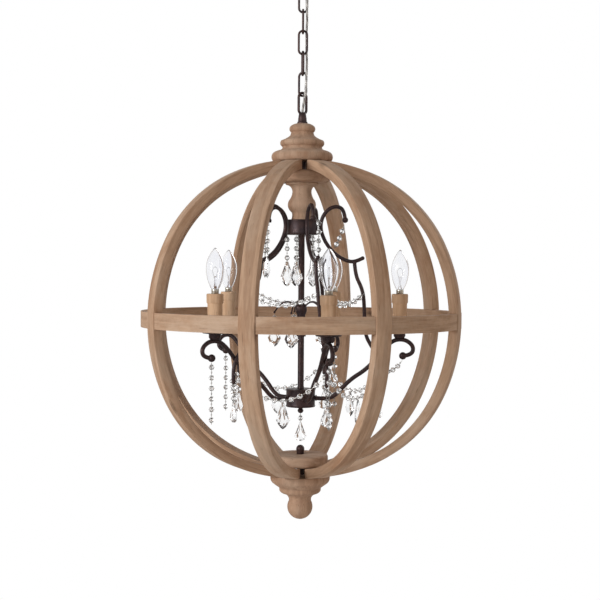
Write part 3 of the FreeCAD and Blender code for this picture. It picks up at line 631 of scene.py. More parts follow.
def floor():
    obj = added(bpy.ops.mesh.primitive_circle_add, vertices=96, radius=14.0, fill_type="NGON")
    obj.name = "studio_floor"
    obj.data.transform(Matrix.Translation((0, 0, -FLOOR_DROP)))
    made = bpy.data.materials.new("studio floor")
    made.use_nodes = True
    graph = Graph(made.node_tree)
    made.node_tree.nodes.clear()
    here = graph.here()
    pale = graph.mix(graph.noise(here, 3.0, 3), (0.80, 0.80, 0.80, 1), (0.84, 0.84, 0.84, 1))
    matt = graph.add("ShaderNodeBsdfDiffuse", {"Color": pale})
    glow = graph.add("ShaderNodeEmission", {"Color": WHITE, "Strength": 1.0})
    path = graph.add("ShaderNodeLightPath").outputs
    seen = graph.math("MAXIMUM", path["Is Camera Ray"], path["Is Transmission Ray"])
    away = graph.add("ShaderNodeVectorMath", {0: here}, operation="LENGTH").outputs["Value"]
    share = graph.times(seen, graph.span(away, 2.2, 4.0, 0.6, 1.0))
    both = graph.add("ShaderNodeMixShader", {0: share, 1: matt.outputs[0], 2: glow.outputs[0]})
    output = graph.add("ShaderNodeOutputMaterial")
    made.node_tree.links.new(both.outputs[0], output.inputs[0])
    obj.data.materials.append(made)


camera()
surroundings()
floor()
softbox("key", (-2.9, -2.5, 0.2), 1.9, 84.0)
softbox("fill", (2.6, -1.2, -1.4), 2.0, 5.5, (1.0, 0.87, 0.74))
softbox("back", (1.4, 2.6, 0.7), 1.6, 16.0)
bpy.context.scene.view_settings.view_transform = "Standard"


# ---------------------------------------------------------------- cord
CORD_D = 0.0046
CORD_ROUTE = [spot(*p) for p in (
    (0, 0, 372), (0, 0, 385), (1.4, -3.2, 397), (4.4, -7.6, 413), (6.4, -9.6, 433),
    (7.0, -8.4, 455), (7.8, -1.6, 475), (7.0, 5.4, 495), (6.2, 6.6, 516), (6.8, 5.6, 538),
    (7.8, -0.6, 558), (6.9, -6.1, 578), (6.2, -7.1, 597), (5.5, -5.6, 612),
    (2.2, -1.8, 624), (0, 0, 635), (0, 0, 646))]
CORD_SPLIT = 8          # the two lengths of cord meet halfway between this point and the next


def line_through(points):
    """Places along the smooth line that the points pull into shape."""
    line = bar(points, 0.0, smoothness=24)
    line.data.use_fill_caps = False
    mesh = bpy.data.meshes.new_from_object(line)
    places = [vertex.co.copy() for vertex in mesh.vertices]
    bpy.data.meshes.remove(mesh)
    bpy.data.objects.remove(line)
    return places


def cord_length(name, points):
    """One length of cord, from a boss to the middle of the chain."""
    path = line_through(points)
    cord = smooth(as_mesh(bar(points, CORD_D / MM / 2, rings=4, smoothness=12)), 60)
    piece(cord, name, None, cord_finish, ["supply_cord"])
    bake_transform(cord)


def supply_cord():
    """One cord, made as two lengths that meet inside the chain, one from the orb's end and one from the
    ceiling fitting's end."""
    meeting = (CORD_ROUTE[CORD_SPLIT] + CORD_ROUTE[CORD_SPLIT + 1]) / 2
    lower = CORD_ROUTE[:CORD_SPLIT + 1] + [meeting]
    upper = CORD_ROUTE[:CORD_SPLIT:-1] + [meeting]
    cord_length("supply_cord_lower", lower)
    cord_length("supply_cord_upper", upper)


supply_cord()


# ---------------------------------------------------------------- chain
def long_ring(width, low, high, wire_d, turn):
    """A long ring of round wire, its end wires centred at the two heights, with a weld on one
    side. Its plane is turned about Z."""
    turn_r = (width - wire_d) / 2
    halves = [(low + turn_r, math.pi), (high - turn_r, 0.0)]
    points = []
    for centre, start in halves:
        for k in range(13):
            a = start + math.pi * k / 12
            points.append(spot(turn_r * math.cos(a), 0, centre + turn_r * math.sin(a)))
    obj, spline = round_bar(points, "POLY", wire_d / 2, 4)
    spline.use_cyclic_u = True
    obj = as_mesh(obj)
    weld = ball(wire_d / 2 + 0.25, (0, 0, 0), 16, 10)
    weld.data.transform(Matrix.Diagonal((1, 1, 0.55, 1)))
    weld.data.transform(Matrix.Translation(spot(turn_r, 0, (low + high) / 2 + 2)))
    obj = joined([obj, weld])
    obj.data.transform(Matrix.Rotation(math.radians(turn), 4, "Z"))
    return smooth(obj, 60)


def chain():
    links = []
    for k, turn in enumerate(LINK_TURNS):
        low = FIRST_CONTACT + k * LINK_PITCH - WIRE_D / 2 - PLAY
        high = FIRST_CONTACT + (k + 1) * LINK_PITCH + WIRE_D / 2 + PLAY
        links.append(long_ring(LINK_WIDTH, low, high, WIRE_D, turn))
    metal(joined(links), "chain_wire", "chain_links", "chain")


chain()


# ---------------------------------------------------------------- wooden orb
def store_grain(obj, plank):
    """Stores where each point lies in its plank: metres along, across and through the grain."""
    shift = Vector([chance.uniform(0, 9) for _ in range(3)])
    values = []
    for vertex in obj.data.vertices:
        values += list(Vector(plank(vertex.co - ORB)) + shift)
    obj.data.attributes.new("grain", "FLOAT_VECTOR", "POINT").data.foreach_set("vector", values)


def wooden(obj, plank, name, node, finish):
    store_grain(obj, plank)
    piece(obj, name, "orb", finish, [node])


def block(low, high):
    """A box between two corners, in millimetres, to cut with."""
    obj = added(bpy.ops.mesh.primitive_cube_add, size=1.0)
    centre = (spot(*low) + spot(*high)) / 2
    size = [(h - l) * MM for l, h in zip(low, high)]
    obj.data.transform(Matrix.Translation(centre) @ Matrix.Diagonal((*size, 1)))
    return obj


def cut_away(obj, cutter):
    finish_with(obj, "BOOLEAN", operation="DIFFERENCE", object=cutter, solver="EXACT")
    bpy.data.objects.remove(cutter)


SPIN_END, SPIN_STEP = 82.0, 1.9     # degrees: a rib's last bend goes past its end, the pole
POLE_CUT = 58.0                     # where the rib's flat starts
NEAR_POLE = 0.16                    # metres from the axis, inside which a rib may be flattened


def rib_blank():
    """One rib on +X: its section is spun round each bend, the half is flattened at its pole and
    mirrored."""
    obj = seed()
    inner, half = ORB_R - RIB_THICK, RIB_WIDTH / 2
    corners = [Vector((x, y, 0)) * MM for x, y in
               ((inner, -half), (ORB_R, -half), (ORB_R, half), (inner, half))]
    low, centre_r, centre_z = 0.0, ORB_R - RIB_BENDS[0][0], 0.0
    with editing(obj):
        drawn(corners)
        bpy.ops.mesh.select_all(action="SELECT")
        bpy.ops.mesh.edge_face_add()
        for k, (radius, high) in enumerate(RIB_BENDS):
            if k:
                step = RIB_BENDS[k - 1][0] - radius
                centre_r += step * math.cos(math.radians(low))
                centre_z += step * math.sin(math.radians(low))
            turn = math.radians(min(high, SPIN_END) - low)
            bpy.ops.mesh.spin(steps=round(turn / math.radians(SPIN_STEP)), angle=turn, axis=(0, 1, 0),
                              center=(centre_r * MM, 0, centre_z * MM))
            low = high
        pick_faces(obj, lambda face: all(abs(v.co.z) < 1e-6 for v in face.verts))
        bpy.ops.mesh.delete(type="ONLY_FACE")
        for x in (RIB_END_R, POLE_CUT):
            bpy.ops.mesh.select_all(action="SELECT")
            bpy.ops.mesh.bisect(plane_co=(x * MM, 0, 0), plane_no=(1, 0, 0), use_fill=x == RIB_END_R,
                                clear_inner=x == RIB_END_R)
        tidy_normals()
    for vertex in obj.data.vertices:
        reach = math.hypot(vertex.co.x - centre_r * MM, vertex.co.z - centre_z * MM)
        outer = reach > (radius - RIB_THICK / 2) * MM or vertex.co.x > NEAR_POLE
        vertex.co.z = min(vertex.co.z, (POLE_FLAT if outer else POLE_FLAT - RIB_THICK) * MM)
    finish_with(obj, "MIRROR", use_axis=(False, False, True), use_mirror_merge=True, merge_threshold=1e-5)
    with editing(obj):
        tidy_normals()
    obj.data.transform(Matrix.Translation(ORB))
    return obj


def ribs():
    """Eight ribs, each cut away behind where it laps the band."""
    rib = rib_blank()
    side, half = RIB_WIDTH / 2 + 1, BAND_HEIGHT / 2
    cut_away(rib, block((LAP_R - 30, -side, -half), (LAP_R, side, half)))
    round_edges(rib, 1.5, segments=3)
    smooth(rib)
    for k, copy in enumerate(around(rib, RIB_COUNT, FIRST_RIB), 1):
        back = Matrix.Rotation(-math.radians(FIRST_RIB + 360.0 / RIB_COUNT * (k - 1) - 90), 4, "Z")

        def plank(place, back=back):
            x, y, z = back @ place
            return math.atan2(z, x) * ORB_R * MM, y, math.hypot(x, z)

        wooden(copy, plank, f"rib_wood_{k}", f"rib_{k}", frame_wood)


def band():
    """A level ring with a notch where each rib laps it."""
    half, inner = BAND_HEIGHT / 2, ORB_R - RIB_THICK
    obj = turned([(inner, -half), (BAND_R, -half), (BAND_R, half), (inner, half)], sides=176, edge=0)
    side = RIB_WIDTH / 2 + 0.15
    notch = block((LAP_R, -side, -half - 2), (LAP_R + 20, side, half + 2))
    cut_away(obj, joined(around(notch, RIB_COUNT, FIRST_RIB)))
    round_edges(obj, 1.1)
    smooth(obj)

    def plank(place):
        return math.atan2(place.y, place.x) * BAND_R * MM, place.z, math.hypot(place.x, place.y)

    wooden(obj, plank, "band_wood", "equator_band", frame_wood)


def upright_plank(place):
    return place.z, place.x, place.y


def level_plank(place):
    return place.x, place.y, place.z


def disc(low, name, node):
    r, high = 52.0, low + DISC_THICK
    obj = turned([(BORE_R, low), (r - 8, low), (r - 1.5, low + 3, r, low + 9), (r, high - 6),
                  (r - 1.2, high - 1.6, r - 5, high), (BORE_R, high)], sides=96)
    wooden(obj, level_plank, name, node, turned_wood)


def cap():
    base = POLE_FLAT
    obj = turned([
        (BORE_R, base), (53.5, base), (57.3, base + 8.5, 54.0, base + 16.0),
        (49.0, base + 18.7, 42.0, base + 20.6), (38.5, base + 22.8), (37.0, base + 24.5),
        (37.0, base + 27.5), (41.2, base + 34.0, 39.2, base + 39.0),
        (29.0, base + 43.6, 22.8, base + 48.0), (20.7, base + 54.0),
        (24.2, base + 60.5, 21.8, base + 65.8), (16.5, base + 69.0, 13.5, CAP_TOP),
        (BORE_R, CAP_TOP)], sides=96, edge=0.7)
    wooden(obj, upright_plank, "cap_wood", "top_finial", turned_wood)


def vase():
    under = CAP_FACE - DISC_THICK
    obj = turned([
        (BORE_R, under), (30.0, under), (30.5, under - 4.0), (20.5, 245.0, 17.8, 236.0),
        (19.5, 229.0, 24.0, 221.0), (26.2, 211.0, 22.5, 202.0), (18.6, 198.0),
        (18.0, 192.0, 20.0, HUB_TOP), (BORE_R, HUB_TOP)], sides=80, edge=0.6)
    wooden(obj, upright_plank, "vase_wood", "inner_vase", turned_wood)


def foot():
    """The foot under the lower pole, which ends in a ball."""
    ball_r, ball_z, neck_r, bore_end = 23.8, -POLE_FLAT - 60.3, 20.8, -POLE_FLAT - 45.0
    neck_z = ball_z + math.sqrt(ball_r ** 2 - neck_r ** 2)
    low = -POLE_FLAT
    obj = turned([
        (BORE_R, low), (54.5, low), (56.0, low - 6.0, 52.5, low - 14.5),
        (46.5, low - 19.0, 40.0, low - 23.5), (39.3, low - 25.5), (39.0, low - 29.5),
        (36.5, low - 32.8, 31.5, low - 35.2), (23.6, low - 40.0, neck_r, low - 45.5),
        (neck_r, neck_z), (ball_r, ball_z, 0.001, ball_z - ball_r), (0.001, bore_end),
        (BORE_R, bore_end)], sides=96, edge=0.7, cuts=12)
    wooden(obj, upright_plank, "foot_wood", "bottom_finial", turned_wood)


ribs()
band()
cap()
disc(CAP_FACE - DISC_THICK, "upper_disc_wood", "upper_disc")
disc(-CAP_FACE, "lower_disc_wood", "lower_disc")
vase()
foot()


# ---------------------------------------------------------------- metal of the poles and the ceiling
def pole_metal():
    step, neck = 372.0, 384.0
    loop = long_ring(21.0, neck - LOOP_WIRE_D / 2 - 0.5, FIRST_CONTACT + LOOP_WIRE_D / 2 + LOOP_PLAY,
                     LOOP_WIRE_D, LOOP_TURN)
    boss = turned([(0, CAP_TOP), (9.8, CAP_TOP), (9.8, CAP_TOP + 3), (8.4, CAP_TOP + 4.5),
                   (8.0, step + 1), (6.4, neck - 1), (5.4, neck), (0, neck)], sides=40, edge=0.35)
    metal(joined([loop, boss]), "top_loop_metal", "top_loop")

    top, nut_r = DISC_THICK - CAP_FACE, 7.8
    nut = turned([(0, top), (nut_r - 0.8, top), (nut_r - 0.8, top + 3.5), (nut_r - 0.4, top + 6.8),
                  (nut_r, top + 1.6 + nut_r, 0, top + 1.6 + 2 * nut_r)], sides=36, edge=0.3, cuts=10)
    metal(nut, "cap_nut_metal", "cap_nut")


def canopy():
    rim, low, wall = 62.0, -30.0, 1.2
    up = ORB_DROP
    shell = turned([
        (rim, up), (rim, up - 5), (rim - 3, up - 14, rim - 14, up - 18.5), (rim - 26, up - 21),
        (26, up - 24, 16, up + low), (5.3, up + low), (5.3, up + low + wall),
        (16 - wall, up + low + wall), (26, up - 22.4, rim - 26, up - 21 + wall),
        (rim - 14, up - 18.5 + wall), (rim - 4, up - 13.2, rim - wall, up - 5), (rim - wall, up)],
        sides=96, edge=0.3)
    metal(shell, "canopy_metal", "canopy", "ceiling_fitting")
    collar = turned([(5.0, up + low), (5.0, up + low - 6), (10.5, up + low - 6),
                     (12.2, up + low - 4.6, 12.5, up + low - 3), (12.5, up + low)], sides=48, edge=0.4)
    metal(collar, "collar_metal", "collar_ring", "ceiling_fitting")
    contact = FIRST_CONTACT + len(LINK_TURNS) * LINK_PITCH
    under = contact + 28.0
    loop = long_ring(21.0, contact - LOOP_WIRE_D / 2 - PLAY, under + LOOP_WIRE_D / 2, LOOP_WIRE_D, 90.0)
    boss = turned([(0, under - 1), (6.4, under - 1), (8.0, under + 3), (8.0, up + low - 6),
                   (5.0, up + low - 6), (5.0, up - 0.5), (0, up - 0.5)], sides=36, edge=0.35)
    metal(joined([loop, boss]), "canopy_loop_metal", "canopy_loop", "ceiling_fitting")


pole_metal()
canopy()


# ---------------------------------------------------------------- metal cluster
ARM_LINE = ((24, -148), (50, -151), (67, -141), (80, -126), (97, -110), (119, -96), (138, -77),
            (157, -52), (CANDLE_R - 9, -37), (CANDLE_R + 12, -37), (211, -50), (207, -66),
            (190.5, -67.5))
SCROLL_LINE = ((81, 186), (79, 203), (67, 211), (50, 206), (38, 190), (34.8, 170), (41, 150),
               (51, 134), (63, 121), (81, 110), (99, 106), (114, 114))
BAR_LINE = ((99, 106), (101, 82), (112, 61), (117, 41), (118.5, 5), (120, -30), (134, -54),
            (147, -76), (150.5, -96), (149, -113))
BAR_SIDE, BAR_SIDE_FROM, SCROLL_R = 7.5, 5, 3.6
HOOK_LINE = ((8.0, 22), (15, 30), (29, 33), (42, 25), (50, 12))
BALL_UNDER = ARM_LINE[-1][1] - 7.0 - 0.3


def in_plane(outline, side=0.0):
    return [spot(r, side, z) for r, z in outline]


def candle_arms():
    """Scrolled arm with a ball at its end and a collar where it enters the hub."""
    arm = as_mesh(bar(in_plane(ARM_LINE), 4.0))
    tip = ball(7.0, spot(ARM_LINE[-1][0], 0, ARM_LINE[-1][1]))
    collar = ring(4.6, 1.3, facing(spot(LOWER_HUB_R + 1.0, 0, -148.2), Vector((1, 0, 0))))
    metal_on_each_arm(smooth(joined([arm, tip, collar]), 60), "arm_metal", "candle_arm")


def cage_scrolls():
    """Upper scroll with its ball and leaf tip, and the bar that runs down past the arm."""
    run = []
    for k, (r, z) in enumerate(BAR_LINE):
        share = min(1.0, max(0.0, (k - BAR_SIDE_FROM + 2) / 2))
        run.append(spot(r, BAR_SIDE * share, z))
    (ball_r, ball_z), (foot_r, foot_z) = SCROLL_LINE[0], BAR_LINE[-1]
    fork, leaf = in_plane(SCROLL_LINE[-2:])
    parts = [as_mesh(bar(in_plane(SCROLL_LINE), SCROLL_R)), as_mesh(bar(run, SCROLL_R)),
             ball(5.6, spot(ball_r, 0, ball_z - 1)), ball(4.1, fork), ball(3.8, leaf),
             ball(3.7, spot(foot_r, BAR_SIDE, foot_z + 0.6), 18, 12)]
    metal_on_each_arm(smooth(joined(parts), 60), "scroll_metal", "cage_scroll")


def hub(radius, low, high, name, node):
    """A round hub with a raised lid and a bead round its lower edge."""
    obj = turned([
        (0, low), (radius - 2.5, low), (radius - 0.6, low + 1.0, radius - 0.2, low + 2.4),
        (radius - 1.0, low + 3.2), (radius - 1.0, high - 3.6), (radius - 0.2, high - 2.8),
        (radius - 0.6, high - 0.8, radius - 2.5, high), (0, high)], sides=72, edge=0.3, cuts=4)
    metal(obj, name, node)


def rod_crown():
    """Sleeve round the rod with five thin hooks."""
    low, high = -33.0, 28.0
    sleeve = turned([
        (ROD_R, low), (9.0, low), (9.0, low + 3), (7.8, low + 5), (7.8, high - 20),
        (10.4, high - 14, 10.0, high - 5), (8.2, high), (ROD_R, high)], sides=40, edge=0.3)
    hook = as_mesh(bar(in_plane(HOOK_LINE), 1.5, rings=3))
    eye = ball(2.2, spot(HOOK_LINE[-1][0], 0, HOOK_LINE[-1][1]), 14, 10)
    hooks = around(joined([hook, eye]), ARM_COUNT, FIRST_ARM + 36)
    metal(smooth(joined([sleeve] + hooks), 60), "crown_metal", "rod_crown")


def hub_finial():
    base = LOW_HUB_BOTTOM
    obj = turned([(0, base - 12.5), (4.2, base - 10.5, 5.6, base - 7.5), (4.4, base - 4.6, 3.4, base - 3.4),
                  (7.5, base - 2.2), (7.5, base), (0, base)], sides=32, edge=0.3)
    metal(obj, "hub_finial_metal", "hub_finial")


def rod():
    obj = turned([(ROD_R - 1, LOW_HUB_TOP - 2), (ROD_R, LOW_HUB_TOP - 2), (ROD_R, LOW_HUB_TOP + 4),
                  (ROD_R - 0.5, LOW_HUB_TOP + 5), (ROD_R - 0.5, HUB_BOTTOM - 5), (ROD_R, HUB_BOTTOM - 4),
                  (ROD_R, HUB_BOTTOM + 2), (ROD_R - 1, HUB_BOTTOM + 2)], sides=32, edge=0.2)
    metal(obj, "rod_metal", "center_rod")


def cups():
    """Drip cups with turned-up rims, on short cups that straddle the arms."""
    cup = turned([
        (3.4, SADDLE), (8.5, SADDLE), (11.0, SADDLE + 4), (11.0, CUP_TOP - 4.2), (11.6, CUP_TOP - 3.2),
        (22.0, CUP_TOP - 2.0), (23.2, CUP_TOP + 0.8), (21.8, CUP_TOP + 1.2), (19.5, CUP_TOP),
        (3.4, CUP_TOP)], sides=56, edge=0.35, place=(CANDLE_R, 0))
    on_arms(cup, "cups_metal", bronze, ["candle_cups"])


candle_arms()
cage_scrolls()
hub(UPPER_HUB_R, HUB_BOTTOM, HUB_TOP, "upper_hub_metal", "upper_hub")
hub(LOWER_HUB_R, LOW_HUB_BOTTOM, LOW_HUB_TOP, "lower_hub_metal", "lower_hub")
rod_crown()
hub_finial()
rod()
cups()


# ---------------------------------------------------------------- candles
def sleeves():
    sleeve = turned([
        (SLEEVE_BORE, CUP_TOP), (13.2, CUP_TOP), (13.6, SLEEVE_TOP - 18), (15.2, SLEEVE_TOP - 16),
        (15.4, SLEEVE_TOP - 1.5), (14.2, SLEEVE_TOP), (SLEEVE_BORE, SLEEVE_TOP)],
        sides=48, edge=0.5, place=(CANDLE_R, 0))
    copies = around(sleeve, ARM_COUNT, FIRST_ARM)
    for copy in copies:
        store_grain(copy, upright_plank)
    piece(joined(copies), "sleeves_wood", "orb", candle_wood, ["candle_sleeves"])


def lamp_holders():
    r, low = SLEEVE_BORE - 0.2, SOCKET_FLOOR
    holder = turned([(0, CUP_TOP), (r, CUP_TOP), (r, SOCKET_TOP - 2), (r - 2, SOCKET_TOP),
                     (7.0, SOCKET_TOP), (6.9, low), (0, low)], sides=40, edge=0.3, place=(CANDLE_R, 0))
    on_arms(holder, "holders_plastic", holder_plastic, ["lamp_sockets"])


def lamp_shells():
    """Thin pointed glass, its inner wall 0.8 mm inside."""
    widest = 0.5 * (GLASS_LOW + GLASS_TOP)
    shell = turned([
        (6.3, GLASS_LOW - 1), (6.8, GLASS_LOW), (GLASS_R - 3.4, GLASS_LOW + 15, GLASS_R, widest),
        (GLASS_R - 4.2, GLASS_TOP - 17, 2.2, GLASS_TOP - 1.5), (0.9, GLASS_TOP - 0.2), (0, GLASS_TOP),
        (0, GLASS_TOP - 0.9), (1.8, GLASS_TOP - 2.8), (GLASS_R - 5.1, GLASS_TOP - 18, GLASS_R - 0.8, widest),
        (GLASS_R - 4.2, GLASS_LOW + 15.4, 6.0, GLASS_LOW + 0.6), (5.6, GLASS_LOW - 1)],
        sides=48, edge=0, cuts=12, place=(CANDLE_R, 0))
    on_arms(shell, "lamp_glass_shells", lamp_glass, ["candle_bulbs"])


def lamp_bases():
    """Plated base with its screw's five turns."""
    low = SOCKET_FLOOR
    steps = [(0, low), (4.3, low), (6.0, low + 4)]
    for k in range(5):
        steps += [(6.7, low + 5.5 + 3 * k), (6.0, low + 7 + 3 * k)]
    steps += [(6.7, low + 21), (6.8, GLASS_LOW - 3), (7.1, GLASS_LOW - 1), (6.4, GLASS_LOW + 0.4),
              (0, GLASS_LOW + 0.4)]
    base = turned(steps, sides=40, edge=0.2, place=(CANDLE_R, 0))
    on_arms(base, "lamp_bases", lamp_metal)


def lamp_stems():
    stem = turned([
        (0, GLASS_LOW + 0.5), (4.2, GLASS_LOW + 0.5), (1.9, GLASS_LOW + 8, 1.3, GLASS_LOW + 16),
        (2.1, GLASS_LOW + 20), (1.2, GLASS_LOW + 23), (0, GLASS_LOW + 24)],
        sides=20, edge=0, place=(CANDLE_R, 0))
    on_arms(stem, "lamp_stems", lamp_glass)


def filaments():
    """Two leads, and between their tips a coil of ten turns that arches up."""
    top, reach, arch, turn_r, points = GLASS_LOW + 34, 5.4, 24.0, 0.7, 60
    parts = []
    for side in (-1, 1):
        line = [(CANDLE_R + side, GLASS_LOW + 4), (CANDLE_R + side * 1.2, GLASS_LOW + 20),
                (CANDLE_R + side * 5.0, top - 4), (CANDLE_R + side * reach, top)]
        parts.append(as_mesh(bar(in_plane(line), 0.28, rings=1)))
    coil = []
    for k in range(points):
        s = k / (points - 1)
        a = 10 * FULL_TURN * s
        coil.append(spot(CANDLE_R + reach * (2 * s - 1), turn_r * math.cos(a),
                         top + arch * s * (1 - s) + turn_r * math.sin(a)))
    parts.append(as_mesh(bar(coil, 0.16, rings=0, smoothness=2)))
    on_arms(joined(parts), "lamp_filaments", filament_metal)


sleeves()
lamp_holders()
lamp_shells()
lamp_bases()
lamp_stems()
filaments()


# ---------------------------------------------------------------- crystals
def cut_bead():
    """An eight-sided bead, its long edges and rims cut to facets."""
    obj = added(bpy.ops.mesh.primitive_cylinder_add, vertices=8, radius=BEAD_R * MM,
                depth=1.5 * BEAD_R * MM)
    with editing(obj):
        pick_faces(obj, lambda face: abs(face.normal.z) > 0.9)
        bpy.ops.transform.resize(value=(0.52, 0.52, 1.12), center_override=(0, 0, 0))
        pick_faces(obj, lambda face: abs(face.normal.z) < 0.9)
        bpy.ops.mesh.subdivide(number_cuts=1)
    for vertex in obj.data.vertices:
        flat = math.hypot(vertex.co.x, vertex.co.y)
        if abs(vertex.co.z) < 0.2 * BEAD_R * MM and flat > 0:
            vertex.co.xy *= BEAD_R * MM / flat
    with editing(obj):
        tidy_normals()
    return obj


# a drop's outline from its top: half its width and its depth, as shares of the whole drop's
PEAR_HALF = ((0.09, 0.0), (0.13, 0.12), (0.3, 0.42), (0.47, 0.64), (0.5, 0.76), (0.38, 0.92), (0.14, 1.0))
KITE_HALF = ((0.09, 0.0), (0.14, 0.1), (0.32, 0.38), (0.5, 0.64), (0.4, 0.77), (0.2, 0.93), (0.03, 1.0))


def cut_drop(length, width, depth, pear=False):
    """A flat drop that hangs from the origin: a girdle, then facets up to a small table on each
    face."""
    half = PEAR_HALF if pear else KITE_HALF
    outline = [(w * width, -d * length) for w, d in half]
    outline += [(-x, z) for x, z in outline[::-1]]
    girdle, centre = 0.24 * depth, -0.62 * length
    obj = seed()
    with editing(obj):
        drawn([Vector((x, -girdle / 2, z)) * MM for x, z in outline])
        bpy.ops.mesh.select_all(action="SELECT")
        bpy.ops.mesh.edge_face_add()
        bpy.ops.mesh.extrude_region_move(TRANSFORM_OT_translate={"value": (0, girdle * MM, 0)})
        tidy_normals()
        for side in (-1, 1):
            pick_faces(obj, lambda face: face.normal.y * side > 0.9)
            rise = side * (depth - girdle) / 2 * MM
            bpy.ops.mesh.extrude_region_move(TRANSFORM_OT_translate={"value": (0, rise * 0.7, 0)})
            bpy.ops.transform.resize(value=(0.62, 1, 0.72), center_override=(0, 0, centre * MM))
            bpy.ops.mesh.extrude_region_move(TRANSFORM_OT_translate={"value": (0, rise * 0.3, 0)})
            bpy.ops.transform.resize(value=(0.5, 1, 0.6), center_override=(0, 0, centre * MM))
        tidy_normals()
    return obj


def icicle():
    obj = turned([(0, 0), (1.2, 0), (1.9, -4.0), (5.6, -27.0), (6.6, -31.0), (3.6, -39.0), (0, -45.0)],
                 sides=6, edge=0)
    obj.data.transform(Matrix.Translation(-ORB) @ Matrix.Diagonal((1, 0.7, 1, 1)))
    only(obj)
    bpy.ops.object.shade_flat()
    return obj


bead_master = cut_bead()
kite_master = cut_drop(46.0, 25.0, 8.0)
small_master = cut_drop(36.0, 22.0, 8.0, pear=True)
prism_master = icicle()
pin_ring = ring(1.7, 0.4, Matrix.Identity(4), 10, 4)


def pin(start, end):
    along = end - start
    obj = added(bpy.ops.mesh.primitive_cylinder_add, vertices=6, radius=PIN_R * MM, depth=along.length)
    obj.data.transform(facing((start + end) / 2, along))
    return obj


def strung(points, beads, drop=None, drop_at=None, drop_turn=0.0):
    """Glass and wire of one string: a pin between points, a ring in each gap, cut beads, and a
    drop hung at one of them."""
    glass, wire = [], []
    for n, (here, there) in enumerate(zip(points, points[1:])):
        wire.append(pin(here, there))
        gap = (there - here).normalized()
        wire.append(copy_of(pin_ring, facing((here + there) / 2, gap.orthogonal(), n * 1.3)))
    for k in beads:
        along = (points[min(k + 1, len(points) - 1)] - points[k - 1]).normalized()
        glass.append(copy_of(bead_master, facing(points[k], along, chance.uniform(0, FULL_TURN))))
    if drop:
        turn = Matrix.Rotation(math.radians(drop_turn), 4, "Z")
        upright = turn @ Matrix.Rotation(math.pi / 2, 4, "Y")
        wire.append(copy_of(pin_ring, Matrix.Translation(drop_at + UP * 0.6 * MM) @ upright))
        glass.append(copy_of(drop, Matrix.Translation(drop_at) @ turn))
    return glass, wire


def hanging(top, bead_count, drop=None, drop_turn=0.0, lead=9.0, step=BEAD_STEP, tie=None):
    """A string that hangs straight down from a point, with an optional drop below. Where the
    string is tied to the metal beside that point, tie is the place."""
    levels = [0.0] + [lead + step * k for k in range(bead_count)]
    points = [top - UP * level * MM for level in levels]
    foot = points[-1] - UP * (BEAD_R + 3.0) * MM
    points.append(foot)
    if tie:
        points[0] = tie
    return strung(points, range(1, bead_count + 1), drop, foot + UP * MM, drop_turn)


def swag(start, end, sag, bead_count, drop=None):
    """A string that sags between two points, with an optional drop at its lowest."""
    spans = bead_count + 1
    points = []
    for k in range(spans + 1):
        s = k / spans
        points.append(start * (1 - s) + end * s - UP * (4 * sag * MM * s * (1 - s)))
    middle = points[(spans + 1) // 2]
    facing_out = math.degrees(math.atan2(middle.x, -middle.y))
    return strung(points, range(1, spans), drop, middle - UP * (BEAD_R - 1.0) * MM, facing_out)


def crystals(strings, name, body, node):
    """Two pieces for a node: its cut glass and its wire."""
    glass = joined([g for string in strings for g in string[0]])
    wire = joined([w for string in strings for w in string[1]])
    with editing(glass):
        bpy.ops.mesh.normals_make_consistent(inside=False)
    only(glass)
    bpy.ops.object.shade_flat()
    piece(glass, f"{name}_glass", body, crystal, [node])
    piece(smooth(wire, 60), f"{name}_wire", body, pin_metal)


def moving_strings():
    number = 0
    for k in range(1, ARM_COUNT + 1):
        azimuth = arm_azimuth(k)
        if k != SWAG_ARM:
            number += 1
            name = f"arm_string_{number}"
            top = on_azimuth(ARM_LINE[-1][0], BALL_UNDER, azimuth)
            crystals([hanging(top, 6)], f"{name}_beads", name, name)
        foot_r, foot_z = BAR_LINE[-1]
        top = on_azimuth(foot_r, foot_z - 0.4, azimuth, BAR_SIDE)
        name = f"bar_drop_{k}"
        crystals([hanging(top, 2, small_master, azimuth)], f"{name}_beads", name, name)


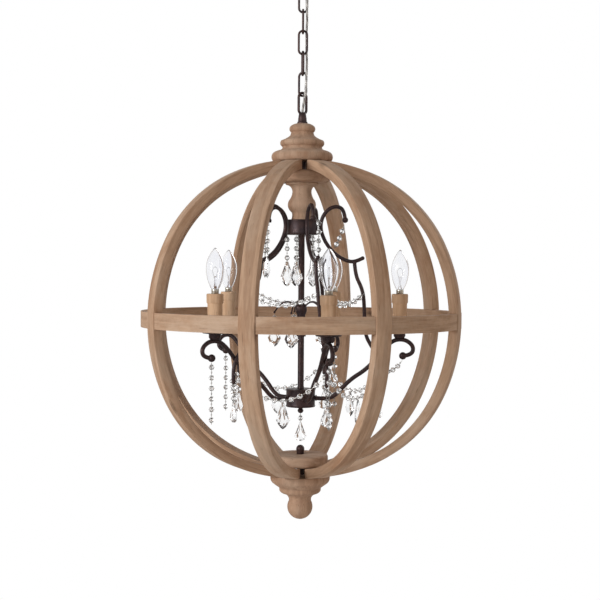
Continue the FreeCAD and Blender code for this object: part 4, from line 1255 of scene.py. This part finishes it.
def fixed_strings():
    """The glass that shares nodes: by the scrolls, under the hubs, on the crown, and the swags."""
    ball_r, ball_z = SCROLL_LINE[0][0], SCROLL_LINE[0][1] - 1.0
    beside = SCROLL_R + BEAD_R + 1.3
    upper_r, upper_z = BAR_LINE[3][0] + 0.5, BAR_LINE[3][1] + 8
    low_r, low_z = BAR_LINE[-2]
    hook_r, hook_z = HOOK_LINE[-1]
    scroll, hubs, crown, garlands = [], [], [], []
    for k in range(1, ARM_COUNT + 1):
        azimuth, there = arm_azimuth(k), arm_azimuth(k + 1)
        between = azimuth + 180.0 / ARM_COUNT
        if k == SWAG_ARM:
            scroll.append(swag(on_azimuth(ball_r, ball_z - 5.8, azimuth),
                               on_azimuth(60.0, 130.3, azimuth), 4, 3))
            garlands.append(swag(on_azimuth(ARM_LINE[-1][0], BALL_UNDER, azimuth),
                                 on_azimuth(low_r + SCROLL_R, low_z, azimuth, BAR_SIDE), 9, 3))
        else:
            scroll.append(hanging(on_azimuth(ball_r, ball_z, azimuth, beside), 4, prism_master,
                                  azimuth + 90, step=16.0, tie=on_azimuth(ball_r, ball_z, azimuth, 5.6)))
        hubs.append(hanging(on_azimuth(UPPER_HUB_R - 4, HUB_BOTTOM, between), 3, kite_master, DROP_TURN,
                            step=17.0))
        crown.append(hanging(on_azimuth(hook_r, hook_z - 2.2, between), 1, kite_master, -DROP_TURN))
        garlands.append(swag(on_azimuth(upper_r, upper_z, azimuth, SCROLL_R),
                             on_azimuth(upper_r, upper_z, there, -SCROLL_R), 22, 8))
        garlands.append(swag(on_azimuth(low_r, low_z, azimuth, BAR_SIDE + SCROLL_R),
                             on_azimuth(low_r, low_z, there, BAR_SIDE - SCROLL_R), 46, 10, kite_master))
    hubs.append(hanging(spot(0, 0, LOW_HUB_BOTTOM - 12.5), 1, small_master))
    crystals(scroll, "scroll_drop", "orb", "scroll_drops")
    crystals(hubs, "hub_drop", "orb", "hub_drops")
    crystals(crown, "crown_drop", "orb", "crown_drops")
    crystals(garlands, "garland", "orb", "bead_garlands")


moving_strings()
fixed_strings()
for master in (bead_master, kite_master, small_master, prism_master, pin_ring):
    bpy.data.objects.remove(master)


# ---------------------------------------------------------------- solids that stay as they are
for node, finish in (("threaded_tube", bronze), ("bottom_stud", bronze), ("ceiling_bracket", zinc),
                     ("stem_nut", zinc), ("joint_screws", zinc), ("terminal_block", white_plastic),
                     ("lamp_wires", lead_plastic)):
    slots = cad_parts[node].data.materials
    slots.clear()
    slots.append(finish)
